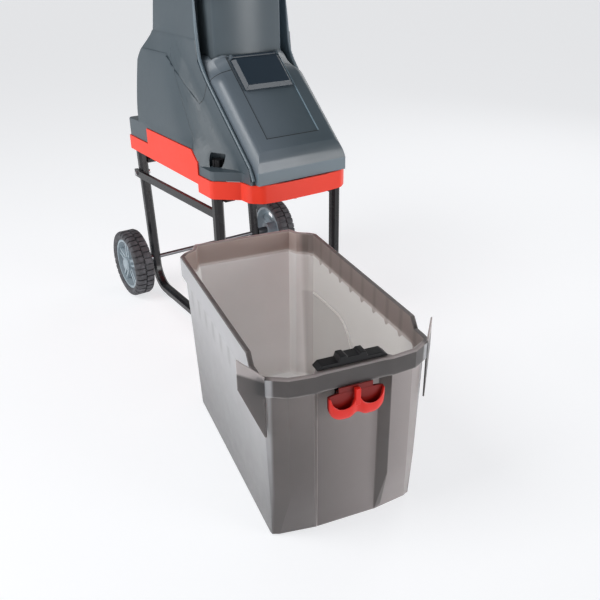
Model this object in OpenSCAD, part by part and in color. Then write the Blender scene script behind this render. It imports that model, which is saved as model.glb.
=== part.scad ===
// Garden shredder: a feed tower and a motor nose that tilt back on a red base tray,
// carried by two bent tube frames and two wheels, with a chip bin standing in front.
// Millimetres. The machine faces -Y, +Z is up and the floor is z = 0. Heights and depths
// of the machine count from the floor and from the axle, with fronts as positive reaches.

/* [Placing] */
// Middle of the axle to the right of the part's middle
machine_x = 99.9; // [60:0.1:140]
// Middle of the axle behind the part's middle
machine_y = 539; // [480:0.1:580]
// Bin's front edge to the left of the axle's middle
bin_left = 300; // [280:1:320]
// Bin's front edge in front of the axle
bin_out = 1112; // [1100:1:1180]
// Turn of the bin away from the machine's axis, degrees
bin_turn = 11.2; // [0:0.1:14]

/* [Wheels] */
// Tyre diameter
wheel_d = 194; // [184:1:204]
// Width over both tyres
track_w = 544; // [536:1:580]
// Tyre width
tyre_w = 55; // [46:1:57]
// Seat of the tyre on the rim
rim_d = 148; // [136:1:156]
// Rim width
rim_w = 44; // [38:1:50]
// Rim wall thickness
rim_t = 7; // [4:0.5:9]
// Hub diameter
hub_d = 42; // [34:1:50]
// Hub length
hub_w = 48; // [44:1:52]
// Number of spokes
spokes = 5; // [5:1:8]
// Spoke width
spoke_w = 22; // [16:1:26]
// Spoke thickness along the axle
spoke_t = 12; // [8:1:20]
// Axle diameter
axle_d = 12; // [10:0.5:16]
// Hub cap length
cap_l = 7; // [5:0.5:9]

/* [Side frames] */
// Half the distance between the legs of the two frames
leg_half = 173; // [172:0.5:176]
// Width of the square tube
tube_w = 25; // [22:0.5:26]
// Tube wall
tube_t = 1.6; // [1.2:0.1:2.5]
// Corner cut of the tube
tube_c = 6; // [3:0.5:7]
// Centre line radius of the bends
bend_r = 66; // [50:1:80]
// Front leg in front of the axle
front_leg = 436; // [428:1:440]
// Backward lean of the rear leg's top
leg_lean = 24; // [0:1:30]
// Foot pad height
foot_h = 3; // [2:0.5:6]
// Foot pad length
foot_l = 34; // [20:1:50]
// Side rail height of its middle
rail_z = 356; // [330:1:370]
// Side rail height
rail_h = 20; // [14:1:24]
// Side rail thickness
rail_t = 10; // [6:0.5:12]
// Rear cross bar height of its middle
bar_z = 390; // [384:1:396]
// Rear cross bar diameter
bar_d = 20; // [14:1:24]
// Bolt shank diameter
bolt_d = 6; // [5:0.5:8]

/* [Base tray] */
// Half width of the tray
tray_half = 193; // [191:0.5:198]
// Rear end behind the axle
tray_rear = 52; // [46:1:56]
// Front face of the nose in front of the axle
nose_out = 549; // [544:1:560]
// Bow of the nose's front face
nose_bow = 7; // [2:0.5:12]
// Half width of the nose
nose_half = 136; // [132:1:142]
// Start of the corner bulge in front of the axle
bulge_back = 378; // [370:1:384]
// End of the bulge's side in front of the axle
bulge_front = 446; // [444:1:452]
// Bottom of the nose
nose_z = 404; // [400:1:408]
// Bottom of the tray behind the nose
tray_z = 424; // [420:1:428]
// Top of the tray at the nose
band_z = 447; // [446:1:452]
// Top of the tray at the rear
rear_z = 462; // [458:1:464]
// Top of the tray at the sides
side_z = 503; // [498:1:508]
// Rear end of the tray's high side in front of the axle
notch = 82; // [70:1:95]
// Wall of the tray
tray_t = 4; // [3:0.5:5]
// Half width of the chip outlet
outlet_half = 115; // [80:1:125]
// Length of the chip outlet
outlet_l = 170; // [120:1:175]

/* [Housing] */
// Wall of the housing
shell_t = 4; // [3:0.5:5]
// Seam between housing parts
seam = 0.5; // [0.3:0.1:1]
// Gap above the tray's edge
tray_gap = 1; // [0.6:0.1:2]
// Half width of the tower's front
tower_half = 132; // [130:1:136]
// Height of the tower
tower_z = 850; // [830:1:870]
// Nose tip edge in front of the axle
tip_out = 523; // [520:1:526]
// Nose tip edge height
tip_z = 483; // [478:1:488]
// Angle of the nose slope, degrees
slope = 42; // [40:0.5:44]
// Width of the flange edge beside the hood
flange_w = 9; // [7:0.5:15]
// Depth of the flange beside the hood
flange_l = 37; // [30:1:40]
// Height of the hood over the flange edges
hood_h = 34; // [26:1:36]
// Shoulder radius of the hood
hood_r = 24; // [12:1:28]
// Radius of the tower's front panel
front_r = 380; // [300:1:450]
// Half width of the tower's front panel
panel_w = 100; // [90:1:104]
// Reach of the front panel in front of the flanges
panel_out = 43; // [36:0.5:44]
// Top of the corner bulges
bulge_z = 470; // [466:1:474]

/* [Hopper] */
// Hopper mouth half width
mouth_half = 170; // [150:1:180]
// Hopper mouth half depth
mouth_deep = 148; // [130:1:160]
// Height of the hopper's rim
mouth_z = 972; // [940:1:1000]
// Hopper wall
hopper_t = 4; // [3:0.5:5]
// Half width of the throat
throat_half = 100; // [90:1:102]

/* [Motor and cutter] */
// Motor axis in front of the axle
motor_out = 290; // [286:1:292]
// Motor plate's under side
plate_z = 478; // [476:1:480]
// Motor plate thickness
plate_t = 8; // [6:0.5:10]
// Stator diameter
stator_d = 104; // [96:1:108]
// Stator length
stator_l = 76; // [60:1:84]
// End bell height
bell_h = 25; // [24:0.5:28]
// Shaft diameter
shaft_d = 17; // [15:1:20]
// Bearing outer diameter
bearing_d = 40; // [35:1:44]
// Bearing width
bearing_w = 12; // [10:1:14]
// Cooling fan diameter
fan_d = 92; // [80:1:100]
// Knife disc diameter
disc_d = 328; // [310:1:332]
// Knife disc thickness
disc_t = 8; // [6:0.5:9]
// Knife disc's top
disc_z = 460; // [458:1:461]
// Knife length
knife_l = 90; // [70:1:95]
// Knife width
knife_w = 30; // [24:1:36]
// Knife thickness
knife_t = 5; // [4:0.5:6]
// Feed opening half width
feed_half = 57; // [45:1:60]
// Feed opening length
feed_l = 84; // [70:1:88]

/* [Switch] */
// Cover half width
cover_half = 66; // [60:1:70]
// Cover length along the slope
cover_l = 94; // [88:1:98]
// Lower edge of the cover along the slope
cover_s = 186; // [180:1:190]
// Cover height over the hood
cover_h = 11; // [9:0.5:14]
// Button diameter
button_d = 22; // [16:1:26]
// Button travel
button_travel = 3; // [2:0.5:4]

/* [Bin] */
// Bin length at the floor
bin_l = 497; // [480:1:505]
// Bin half width at the floor
bin_half = 139; // [130:1:142]
// Bin half width at the rim
bin_top_half = 150; // [146:1:151]
// Height of the side rims
bin_z = 361; // [345:1:370]
// Height of the front rim
front_rim_z = 342; // [330:1:343]
// Rim band height
band_h = 35; // [28:1:40]
// Rim band height at the sides and back
side_band_h = 46; // [30:1:50]
// Rim band's stand-off
band_out = 6; // [4:0.5:8]
// Bin wall
bin_t = 3; // [2.5:0.5:4]
// Half span over the wing tips
wing_half = 178; // [170:1:182]
// Latch grip half width
grip_half = 50; // [40:1:52]
// Latch travel
latch_travel = 15; // [8:1:16]

/* [Hidden] */
$fn = 48;
// Radial clearance of a turning fit, of a slid-on fit and of a loose hole
run_fit = 0.06;
slide_fit = 0.1;
hole_fit = 0.3;
// Reach of a cut past the face that it opens
past = 1;

axle_z = wheel_d / 2;
hub_out = track_w / 2 - cap_l;
hub_in = hub_out - hub_w;
tyre_in = track_w / 2 - tyre_w;
frame_out = leg_half + tube_w / 2;
frame_in = leg_half - tube_w / 2;
runner_z = foot_h + tube_w / 2;
leg_top = nose_z + tray_t + 32;
bend_end_z = runner_z + bend_r;
rear_bend_y = -bend_r;
front_bend_y = -front_leg + bend_r;

hinge_y = tray_rear + 13;
hinge_z = rear_z + 4;
hinge_r = 9;
hinge_pin_d = 8;
hinge_x = 120;
hinge_w = 12;
knob_x = 153;
knob_y = -413;
knob_stud_d = 6;
interlock_y = -512;
plunger_d = 8;
plunger_travel = 4;
plunger_low = nose_z - 18;

far_front = -nose_out - 40;
skirt_half = tray_half - 3;
skirt_rear = tray_rear - 4;
lip_z = side_z + 9;
slope_l = 252;
slope_top_y = -tip_out + slope_l * cos(slope);
slope_top_z = tip_z + slope_l * sin(slope);
front_wall_y = slope_top_y + 46;
tower_rear = -52;
panel_y = front_wall_y - panel_out;
front_axis_y = panel_y + front_r;
hood_half = tower_half - flange_w - seam;

motor_y = -motor_out;
plate_top = plate_z + plate_t;
bell_top = plate_top + bell_h;
stator_top = bell_top + stator_l;
motor_top = stator_top + bell_h;
bearing_in = 6;
disc_low = disc_z - disc_t;
feed_mid = motor_y + disc_d / 2 - 4 - feed_l / 2;
chute_t = 3;
throat_front = front_wall_y + 50;
throat_rear = tower_rear - shell_t - 8;
throat_z = slope_top_z + 95;

cover_top = hood_h + cover_h;
pivot_s = cover_s + cover_l + 3;
pivot_h = hood_h + 5;
pivot_r = 4.3;
pin_d = 4;
box_s = cover_s + cover_l / 2 - 1;

// Plain helpers

function unit(v) = v / norm(v);
function left_of(v) = [-v[1], v[0]];
// The right half of an outline, from front to back, with its mirror image
function mirrored(half) = concat(half, [for (i = [len(half) - 1:-1:0]) [-half[i][0], half[i][1]]]);
// A polygon that runs anticlockwise, moved inwards by d
function inset(p, d) = let (n = len(p)) [for (i = [0:n - 1])
    let (a = left_of(unit(p[i] - p[(i + n - 1) % n])), b = left_of(unit(p[(i + 1) % n] - p[i])))
    p[i] + (a + b) * d / (1 + a * b)];
function chamfered(w, c) = let (a = w / 2, b = a - c)
    [[a, -b], [a, b], [b, a], [-b, a], [-a, b], [-a, -b], [-b, -a], [b, -a]];
// A rectangle with round corners, from front to back
function round_rect(half, front, rear, r) = mirrored(concat(
    [for (a = [-90:30:0]) [half - r + r * cos(a), front + r + r * sin(a)]],
    [for (a = [0:30:90]) [half - r + r * cos(a), rear - r + r * sin(a)]]));

module machine() translate([machine_x, machine_y, 0]) children();
module bin_place() machine() translate([-bin_left, -bin_out, 0]) rotate(-bin_turn) children();
// Axes of the nose slope: X across, Y up along the slope, Z out of it
module on_slope() translate([0, -tip_out, tip_z]) rotate([slope, 0, 0]) children();
module both_sides() for (side = [-1, 1]) scale_side(side) children();
module scale_side(side) if (side > 0) children(); else mirror([1, 0, 0]) children();
// A box from its low and high corners
module block(low, high) translate(low) cube(high - low);
// A side view, as points of depth and height, drawn out to both sides
module side_view(points, half) rotate([90, 0, 90]) translate([0, 0, -half])
    linear_extrude(2 * half) polygon(points);
// A front view, as points across and up, drawn out from front to rear
module front_view(points, front, rear) translate([0, rear, 0]) rotate([90, 0, 0])
    linear_extrude(rear - front) polygon(points);
module upright(points, low, high) translate([0, 0, low]) linear_extrude(high - low) polygon(points);
module cross_pin(d, x0, x1, y, z) translate([x0, y, z]) rotate([0, 90, 0]) cylinder(d = d, h = x1 - x0);
// A body drawn through outlines, each given with its height
module skin(rings) {
    n = len(rings[0][1]);
    last = len(rings) - 1;
    polyhedron(
        points = [for (ring = rings, p = ring[1]) [p[0], p[1], ring[0]]],
        faces = concat([[for (i = [0:n - 1]) i]],
            [[for (i = [n - 1:-1:0]) last * n + i]],
            [for (j = [0:last - 1], i = [0:n - 1]) let (a = j * n + i, b = j * n + (i + 1) % n)
                each [[a, a + n, b + n], [a, b + n, b]]]));
}

// Side frames

module tube_ring() difference() {
    polygon(chamfered(tube_w, tube_c));
    polygon(chamfered(inner_w, inner_c));
}
module front_leg_place() translate([leg_half, -front_leg, runner_z + bend_r]) children();
front_leg_l = leg_top - bend_end_z;
function rear_leg_y(z) = (z - bend_end_z) * leg_lean / front_leg_l;
inner_w = tube_w - 2 * tube_t;
inner_c = tube_c - tube_t * 0.6;
// The leaning rear leg, drawn from a cross section and cut level at both ends
module rear_leg_form() intersection() {
    translate([leg_half, 0, bend_end_z]) rotate([-atan(leg_lean / front_leg_l), 0, 0])
        translate([0, 0, -tube_w]) linear_extrude(front_leg_l + 3 * tube_w) children();
    block([leg_half - tube_w, -2 * tube_w, bend_end_z], [leg_half + tube_w, leg_lean + 2 * tube_w, leg_top]);
}
module side_frame() {
    front_leg_place() linear_extrude(front_leg_l) tube_ring();
    translate([leg_half, front_bend_y, runner_z + bend_r]) rotate([180, 90, 0])
        rotate_extrude(angle = 90) translate([bend_r, 0]) tube_ring();
    translate([leg_half, rear_bend_y, runner_z + bend_r]) rotate([0, 90, 0])
        rotate_extrude(angle = 90) translate([bend_r, 0]) tube_ring();
    translate([leg_half, front_bend_y, runner_z]) rotate([-90, 0, 0])
        linear_extrude(rear_bend_y - front_bend_y) tube_ring();
}
module rear_leg() difference() {
    rear_leg_form() tube_ring();
    cross_pin(axle_d + 2 * slide_fit, frame_in - past, frame_out + past, 0, axle_z);
    cross_pin(bolt_d + 2 * slide_fit, frame_in - past, frame_out + past, rear_leg_y(rail_z), rail_z);
}
// The legs' outer form, grown for the holes that take them
module leg_cuts() {
    front_leg_place() linear_extrude(front_leg_l) polygon(chamfered(tube_w + 2 * hole_fit, tube_c));
    rear_leg_form() polygon(chamfered(tube_w + 2 * hole_fit, tube_c));
}
module left_side_frame() machine() color("#1c1d1f") scale_side(-1) side_frame();
module right_side_frame() machine() color("#1c1d1f") side_frame();
module left_rear_leg() machine() color("#1c1d1f") scale_side(-1) rear_leg();
module right_rear_leg() machine() color("#1c1d1f") rear_leg();

rail_in = frame_out + slide_fit;
rail_rear = rear_leg_y(rail_z) + tube_w / 2 + 3;
rail_kink = rear_leg_y(rail_z) - tube_w / 2 - 8;
module side_rail() difference() {
    upright([[rail_in, rail_rear], [rail_in, rail_kink],
        [leg_half - rail_t / 2, -front_leg + tube_w / 2], [leg_half + rail_t / 2, -front_leg + tube_w / 2],
        [rail_in + rail_t, rail_kink], [rail_in + rail_t, rail_rear]],
        rail_z - rail_h / 2, rail_z + rail_h / 2);
    cross_pin(bolt_d + 2 * slide_fit, frame_in, rail_in + rail_t + past, rear_leg_y(rail_z), rail_z);
}
module left_side_rail() machine() color("#222326") scale_side(-1) side_rail();
module right_side_rail() machine() color("#222326") side_rail();

module rear_cross_bar() machine() color("#1c1d1f") difference() {
    cross_pin(bar_d, -frame_in, frame_in, rear_leg_y(bar_z), bar_z);
    cross_pin(bar_d - 2 * tube_t, -frame_in - past, frame_in + past, rear_leg_y(bar_z), bar_z);
}

module axle() machine() color("#3a3c40")
    cross_pin(axle_d, -hub_out - 2, hub_out + 2, 0, axle_z);

module wheel_spacers() machine() color("#2a2b2e") both_sides() difference() {
    cross_pin(axle_d + 10, frame_out, hub_in - hole_fit, 0, axle_z);
    cross_pin(axle_d + 2 * slide_fit, frame_out - past, hub_in, 0, axle_z);
}

foot_ys = [front_bend_y + foot_l / 2 + 2, rear_bend_y - foot_l / 2 - 2];
module foot_pads() machine() color("#161616") both_sides() for (y = foot_ys)
    translate([leg_half, y, 0]) linear_extrude(foot_h) square([tube_w - 2 * tube_c, foot_l], center = true);

bolt_head = 4;
module frame_bolts() machine() color("#8c9095") both_sides() union() {
    cross_pin(bolt_d, frame_in, rail_in + rail_t, rear_leg_y(rail_z), rail_z);
    cross_pin(2 * bolt_d, rail_in + rail_t, rail_in + rail_t + bolt_head, rear_leg_y(rail_z), rail_z);
    cross_pin(2 * bolt_d, frame_in - bolt_head, frame_in, rear_leg_y(rail_z), rail_z);
}

// Base tray

nose_corner = nose_out - 22;
tray_half_line = [[nose_half * 0.41, -nose_out - nose_bow], [nose_half - 25, -nose_out],
    [nose_half, -nose_corner], [nose_half + 3, -nose_corner + 33], [tray_half, -bulge_front],
    [tray_half, tray_rear - 6], [tray_half - 6, tray_rear]];
tray_line = mirrored(tray_half_line);
// Side view of the tray's outside, and of the hollow inside it
tray_side = [[far_front, nose_z], [-bulge_back, nose_z], [-bulge_back, tray_z], [tray_rear, tray_z],
    [tray_rear, rear_z], [-notch, rear_z], [-notch, side_z], [-bulge_back + 27, side_z],
    [-bulge_back - 4, band_z + 30], [-bulge_back - 4, band_z], [far_front, band_z]];
tray_hollow = [[far_front, nose_z + tray_t], [-bulge_back + tray_t, nose_z + tray_t],
    [-bulge_back + tray_t, tray_z + tray_t], [tray_rear, tray_z + tray_t], [tray_rear, side_z + 50],
    [far_front, side_z + 50]];
socket_w = tube_w + 2 * hole_fit + 2 * tray_t + 2;
module tray_sockets() intersection() {
    upright(tray_line, nose_z, side_z);
    union() {
        block([leg_half - socket_w / 2, -front_leg - socket_w / 2, nose_z],
            [tray_half, -front_leg + socket_w / 2, leg_top + tray_t]);
        block([leg_half - socket_w / 2, rear_leg_y(tray_z) - socket_w / 2, tray_z],
            [tray_half, rear_leg_y(tray_z) + socket_w / 2, leg_top + 2 * tray_t]);
    }
}
module hinge_lug(x0, x1, web_low, web_high, web_y) {
    cross_pin(2 * hinge_r, x0, x1, hinge_y, hinge_z);
    block([x0, web_y, web_low], [x1, hinge_y, web_high]);
}
outlet_mid = -bulge_back + tray_t + 10 + outlet_l / 2;
module base_tray() machine() color("#e0483a") difference() {
    union() {
        difference() {
            intersection() {
                upright(tray_line, nose_z, side_z);
                side_view(tray_side, tray_half + past);
            }
            intersection() {
                upright(inset(tray_line, tray_t), nose_z, side_z + 60);
                side_view(tray_hollow, tray_half);
            }
        }
        both_sides() {
            tray_sockets();
            translate([knob_x, knob_y, nose_z]) cylinder(d = knob_stud_d + 12, h = band_z - nose_z - past);
            hinge_lug(hinge_x - hinge_w, hinge_x, tray_z + 14, rear_z - past, tray_rear - tray_t / 2);
        }
    }
    both_sides() {
        leg_cuts();
        translate([knob_x, knob_y, nose_z - past])
            cylinder(d = knob_stud_d + 3, h = band_z - nose_z + 2 * past);
        cross_pin(hinge_pin_d + 2 * run_fit, hinge_x - hinge_w - past, hinge_x + past, hinge_y, hinge_z);
    }
    translate([-outlet_half, outlet_mid - outlet_l / 2, tray_z - past])
        cube([2 * outlet_half, outlet_l, tray_t + 2 * past]);
    translate([0, interlock_y, nose_z - past]) cylinder(d = plunger_d + 2 * hole_fit, h = tray_t + 2 * past);
}

guide_w = 28;
guide_l = 38;
guide_h = 15;
guide_in = frame_in - guide_w - 2;
module bin_guides() machine() color("#1a1a1b") both_sides() translate([guide_in, -front_leg - tube_w / 2,
    nose_z - guide_h])
    cube([guide_w, guide_l, guide_h]);

pin_reach = hinge_w + seam + 3;
module hinge_pins() machine() color("#a9adb2") both_sides()
    cross_pin(hinge_pin_d, hinge_x - pin_reach + seam, hinge_x + pin_reach, hinge_y, hinge_z);

switch_h = 30;
module interlock_switch() machine() color("#252628") translate([0, interlock_y,
    nose_z + tray_t]) difference() {
    translate([-22, -13, 0]) cube([44, 26, switch_h]);
    translate([0, 0, -past]) cylinder(d = plunger_d + 2 * slide_fit, h = switch_h - 4 + past);
}
module interlock_plunger() machine() color("#d8d8d4") translate([0, interlock_y, plunger_low]) {
    cylinder(d = plunger_d, h = nose_z + tray_t + switch_h - 4 - plunger_travel - 2 - plunger_low);
}

// Wheels

tyre_r = wheel_d / 2;
rim_r = rim_d / 2;
groove_w = 8;
groove_deep = 5;
module tyre() machine() color("#1d1d1e") translate([0, 0, axle_z]) rotate([0, 90, 0]) rotate_extrude()
    polygon([[rim_r + slide_fit, tyre_in + 4], [tyre_r - 14, tyre_in], [tyre_r - 5, tyre_in + 4],
        [tyre_r, tyre_in + 12], [tyre_r, tyre_in + tyre_w / 2 - 2], [tyre_r - 3, tyre_in + tyre_w / 2 - 1],
        [tyre_r - 3, tyre_in + tyre_w / 2 + 1], [tyre_r, tyre_in + tyre_w / 2 + 2],
        [tyre_r, tyre_in + tyre_w - 12], [tyre_r - 5, tyre_in + tyre_w - 4],
        [tyre_r - 14, tyre_in + tyre_w], [rim_r + slide_fit, tyre_in + tyre_w - 4]]);
module wheel() machine() color("#9aa5ad") difference() {
    mid = tyre_in + tyre_w / 2;
    union() {
        difference() {
            cross_pin(rim_d, mid - rim_w / 2, mid + rim_w / 2, 0, axle_z);
            cross_pin(rim_d - 2 * rim_t, mid - rim_w, mid + rim_w, 0, axle_z);
        }
        cross_pin(hub_d, hub_in, hub_out, 0, axle_z);
        translate([hub_out - spoke_t - 4, 0, axle_z]) rotate([0, 90, 0]) for (i = [0:spokes - 1])
            rotate(360 * (i + 0.5) / spokes) translate([0, -spoke_w / 2, 0])
                cube([rim_r - rim_t / 2, spoke_w, spoke_t]);
    }
    translate([hub_out - 4 - groove_deep, 0, axle_z]) rotate([0, 90, 0]) for (i = [0:spokes - 1])
        rotate(360 * (i + 0.5) / spokes) translate([hub_d / 2 + 2, -groove_w / 2, 0])
            cube([rim_r - rim_t - hub_d / 2 - 4, groove_w, groove_deep + past]);
    cross_pin(axle_d + 2 * run_fit, hub_in - past, hub_out + past, 0, axle_z);
}
module hub_cap() machine() color("#b4bdc4") translate([hub_out, 0, axle_z]) rotate([0, 90, 0]) difference() {
    rotate_extrude() polygon([[0, 0], [hub_d / 2 - 1, 0], [hub_d / 2 - 1, cap_l - 4], [hub_d / 2 - 6, cap_l],
        [0, cap_l]]);
    translate([0, 0, -past]) cylinder(d = axle_d + 2, h = 3.5 + past);
}
module mirrored_wheel() translate([2 * machine_x, 0, 0]) mirror([1, 0, 0]) children();
module left_tyre() mirrored_wheel() tyre();
module left_wheel() mirrored_wheel() wheel();
module left_hub_cap() mirrored_wheel() hub_cap();
module right_tyre() tyre();
module right_wheel() wheel();
module right_hub_cap() hub_cap();

// Housing outlines: a side view, a front view and a view along the slope, cut with each other

rear_wall_y = skirt_rear - 38;
skirt_r = 7;
rear_r = 44;
shoulder_z = slope_top_z + 93;
// The rear wall's sweep from the wide body in to the tower
sweep_low = slope_top_z + 2;
sweep_high = shoulder_z + 14;
sweep_steps = 8;
rear_curve = [for (i = [0:sweep_steps]) let (t = i / sweep_steps)
    [rear_wall_y + (tower_rear + 3 - rear_wall_y) * (1 - cos(180 * t)) / 2,
        sweep_low + (sweep_high - sweep_low) * t]];
function body_side(more) = [[-tip_out - 11, band_z - more], [skirt_rear, band_z - more], [skirt_rear, lip_z],
    [rear_wall_y, lip_z], each rear_curve, [tower_rear - 4, tower_z + more], [front_wall_y + 7,
        tower_z + more], [front_wall_y - 3, shoulder_z],
    [front_wall_y - 9, slope_top_z + 45], [slope_top_y + 22, slope_top_z + 24], [slope_top_y, slope_top_z],
    [-tip_out, tip_z]];
body_front = mirrored([[skirt_half, nose_z], [skirt_half, lip_z],
    [skirt_half - 34, slope_top_z + 45], [tower_half, shoulder_z], [tower_half - 8, tower_z],
    [tower_half - 8, mouth_z]]);
flare_l = 70;
flare_out = tray_half + 10 - tower_half - 2;
flare_steps = 6;
body_cross = mirrored(concat([[tray_half + 10, -700]], [for (i = [flare_steps:-1:0]) let (t = i / flare_steps)
    [tower_half + 2 + flare_out * pow(t, 1.5), -flange_l - flare_l * t]], [[tower_half + 2, 120]]));
module along_slope() on_slope() translate([0, 600, 0]) rotate([90, 0, 0]) linear_extrude(1000) children();
module round_rear(half, rear, r) {
    translate([-half, far_front]) square([2 * half, rear - r - far_front]);
    translate([-half + r, far_front]) square([2 * half - 2 * r, rear - far_front]);
    for (side = [-1, 1]) translate([side * (half - r), rear - r]) circle(r = r);
}
module body_form(d, more) intersection() {
    side_view(inset(body_side(more), d), tray_half + 10);
    front_view(inset(body_front, d), far_front, tray_rear + 20);
    along_slope() polygon(inset(body_cross, d));
    union() {
        translate([0, 0, band_z - more]) linear_extrude(lip_z - d - band_z + more)
            round_rear(skirt_half - d, skirt_rear - d, skirt_r - d);
        translate([0, 0, lip_z - d]) linear_extrude(tower_z + more + d - lip_z)
            round_rear(skirt_half - d, rear_wall_y - d, rear_r - d);
    }
}
knob_room = 21;
scoop_h = 30;
module knob_scoops(d) both_sides() translate([knob_x, knob_y, bulge_z - d])
    cylinder(r = knob_room + d, h = scoop_h + 2 * d);
bulge_line = mirrored(concat([for (i = [2:4]) tray_half_line[i] - [3, 0]],
    [[skirt_half, -bulge_back]]));
module flange_zone() both_sides() {
    on_slope() block([tower_half - flange_w, -90, -flange_l], [tower_half + 20, slope_l + 60, 40]);
    block([tower_half - flange_w, slope_top_y - 40, slope_top_z], [tower_half + 20, front_wall_y + 44,
        tower_z]);
}
module front_pocket() {
    pocket = tower_half - flange_w;
    on_slope() block([-pocket, -60, -flange_l], [pocket, slope_l - 4, 80]);
    block([-pocket, -nose_out - 20, nose_z], [pocket, -tip_out + 40, tip_z + 20]);
    block([-pocket, slope_top_y - 60, slope_top_z - 20], [pocket, front_wall_y + 40, tower_z + 10]);
}
module body_shell() difference() {
    union() {
        body_form(0, 0);
        upright(bulge_line, band_z, bulge_z);
    }
    difference() {
        union() {
            body_form(shell_t, 20);
            upright(inset(bulge_line, shell_t), band_z - 20, bulge_z - shell_t);
        }
        flange_zone();
        knob_scoops(shell_t);
    }
    front_pocket();
    knob_scoops(0);
}
// Side views that part the housing from the tray and the tower from the lower housing
over_tray = [[far_front, band_z + tray_gap], [-bulge_back - 4 - tray_gap, band_z + tray_gap],
    [-bulge_back - 4 - tray_gap, band_z + 30 + tray_gap], [-bulge_back + 27, side_z + tray_gap],
    [-notch + tray_gap, side_z + tray_gap], [-notch + tray_gap, rear_z + tray_gap],
    [tray_rear + 20, rear_z + tray_gap], [tray_rear + 20, mouth_z + 100], [far_front, mouth_z + 100]];
vee_y = slope_top_y + 19;
vee_z = slope_top_z - 52;
vee_run = 155;
rear_seam_z = slope_top_z + 48;
function seam_line(up) = [[far_front, 300], [tray_rear + 20, 300], [tray_rear + 20, rear_seam_z + up],
    [vee_y + vee_run, rear_seam_z + up], [vee_y, vee_z + up], [slope_top_y - 6, slope_top_z - 6 + up],
    [slope_top_y - 60, slope_top_z + 50 + up], [far_front, slope_top_z + 50 + up]];

post_w = 20;
post_ys = [-bulge_back + 45, -notch - 50];
post_in = skirt_half - shell_t - 36;
module plate_posts() both_sides() for (y = post_ys)
    block([post_in, y - post_w / 2, plate_top], [skirt_half - shell_t + 1.5, y + post_w / 2, lip_z]);
inlet_z = slope_top_z - 66;
inlet_r = 17;
reset_x = 62;
reset_d = 14;
module lower_housing() machine() color("#46525a") difference() {
    union() {
        intersection() {
            body_shell();
            side_view(over_tray, tray_half + 10);
            side_view(seam_line(0), tray_half + 10);
        }
        plate_posts();
        both_sides() hinge_lug(hinge_x + seam, hinge_x + seam + hinge_w, hinge_z, hinge_z + hinge_r,
            skirt_rear - shell_t / 2);
    }
    both_sides() {
        cross_pin(hinge_pin_d + 2 * run_fit, hinge_x - past, hinge_x + hinge_w + 2, hinge_y, hinge_z);
        translate([knob_x, knob_y, bulge_z - 10]) cylinder(d = knob_stud_d + 2 * slide_fit, h = 30);
        for (y = post_ys) translate([post_in + 14, y, plate_top - past]) cylinder(d = 5, h = 18);
    }
    translate([0, rear_wall_y + past, inlet_z]) rotate([90, 0, 0]) cylinder(r = inlet_r + hole_fit,
        h = shell_t + 4);
    translate([reset_x, rear_wall_y + past, inlet_z]) rotate([90, 0, 0])
        cylinder(d = reset_d + 2 * hole_fit, h = shell_t + 4);
}

groove_back = front_wall_y + 42;
module panel_form(d, low) intersection() {
    translate([0, front_axis_y, low]) cylinder(r = front_r - d, h = tower_z - low, $fn = 180);
    block([-panel_w + d, panel_y - 10, low], [panel_w - d, groove_back, tower_z]);
}
// The round front panel, with the floors of the two grooves beside it
module tower_wall() {
    panel_low = hood_end[1] - 20;
    difference() {
        panel_form(0, panel_low);
        translate([0, 0, -past]) panel_form(shell_t, panel_low - past);
        translate([0, 0, past]) panel_form(shell_t, panel_low);
        translate([0, past, 0]) panel_form(shell_t, panel_low);
    }
    both_sides() block([panel_w - shell_t, groove_back - shell_t, panel_low],
        [tower_half - flange_w, groove_back, tower_z]);
}
module tower_shell() machine() color("#46525a") union() {
    difference() {
        body_shell();
        side_view(seam_line(seam), tray_half + 10);
    }
    tower_wall();
}

hood_low = band_z + tray_gap;
function slope_point(s, h) = [-tip_out + s * cos(slope) - h * sin(slope),
    tip_z + s * sin(slope) + h * cos(slope)];
hood_end = slope_point(pivot_s + 12, hood_h);
hood_side = [[-nose_out, hood_low - 8], [front_wall_y + 60, hood_low - 8], [front_wall_y + 60,
    hood_end[1] + 10],
    [front_wall_y - 14, hood_end[1] + 10], hood_end, slope_point(20, hood_h), [-nose_out + 6, tip_z + 17],
    [-nose_out, tip_z - 5]];
module hood_cross(d) {
    half = hood_half - d;
    r = hood_r - d;
    top = hood_h - d;
    translate([-half, -60]) square([2 * half, 60 + top - r]);
    translate([-half + r, -60]) square([2 * half - 2 * r, 60 + top]);
    for (side = [-1, 1]) translate([side * (half - r), top - r]) circle(r = r);
}
module hood_form(d) intersection() {
    side_view(inset(hood_side, d), hood_half);
    on_slope() translate([0, slope_l + 130, 0]) rotate([90, 0, 0]) linear_extrude(slope_l + 260)
        hood_cross(d);
}
recess_d = 2;
recess_half = cover_half + 6;
recess_s = 51;
cover_hole_half = cover_half - 10;
cover_hole_l = cover_l - 18;
module hood_shell() difference() {
    intersection() {
        difference() {
            hood_form(0);
            hood_form(shell_t);
        }
        on_slope() block([-hood_half, -120, -flange_l + 20], [hood_half, slope_l + 120, 80]);
        block([-hood_half, -nose_out - past, hood_low], [hood_half, front_wall_y + 50, mouth_z]);
    }
    panel_form(-seam, slope_top_z - 40);
    block([-tower_half, groove_back - shell_t - seam, slope_top_z - 40], [tower_half, groove_back + 40,
        tower_z]);
    on_slope() {
        block([-recess_half, recess_s, hood_h - recess_d], [recess_half, pivot_s + 6, hood_h + 10]);
        block([-cover_hole_half, box_s - cover_hole_l / 2, 0],
            [cover_hole_half, box_s + cover_hole_l / 2, hood_h + 10]);
    }
}
module cover_lugs() both_sides() on_slope() difference() {
    block([cover_half - 6 + seam, pivot_s - 4.5, hood_h - recess_d - past], [cover_half, pivot_s + 4.5,
        pivot_h + 4]);
    cross_pin(pin_d + 2 * run_fit, cover_half - 10, cover_half + 4, pivot_s, pivot_h);
}
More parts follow.
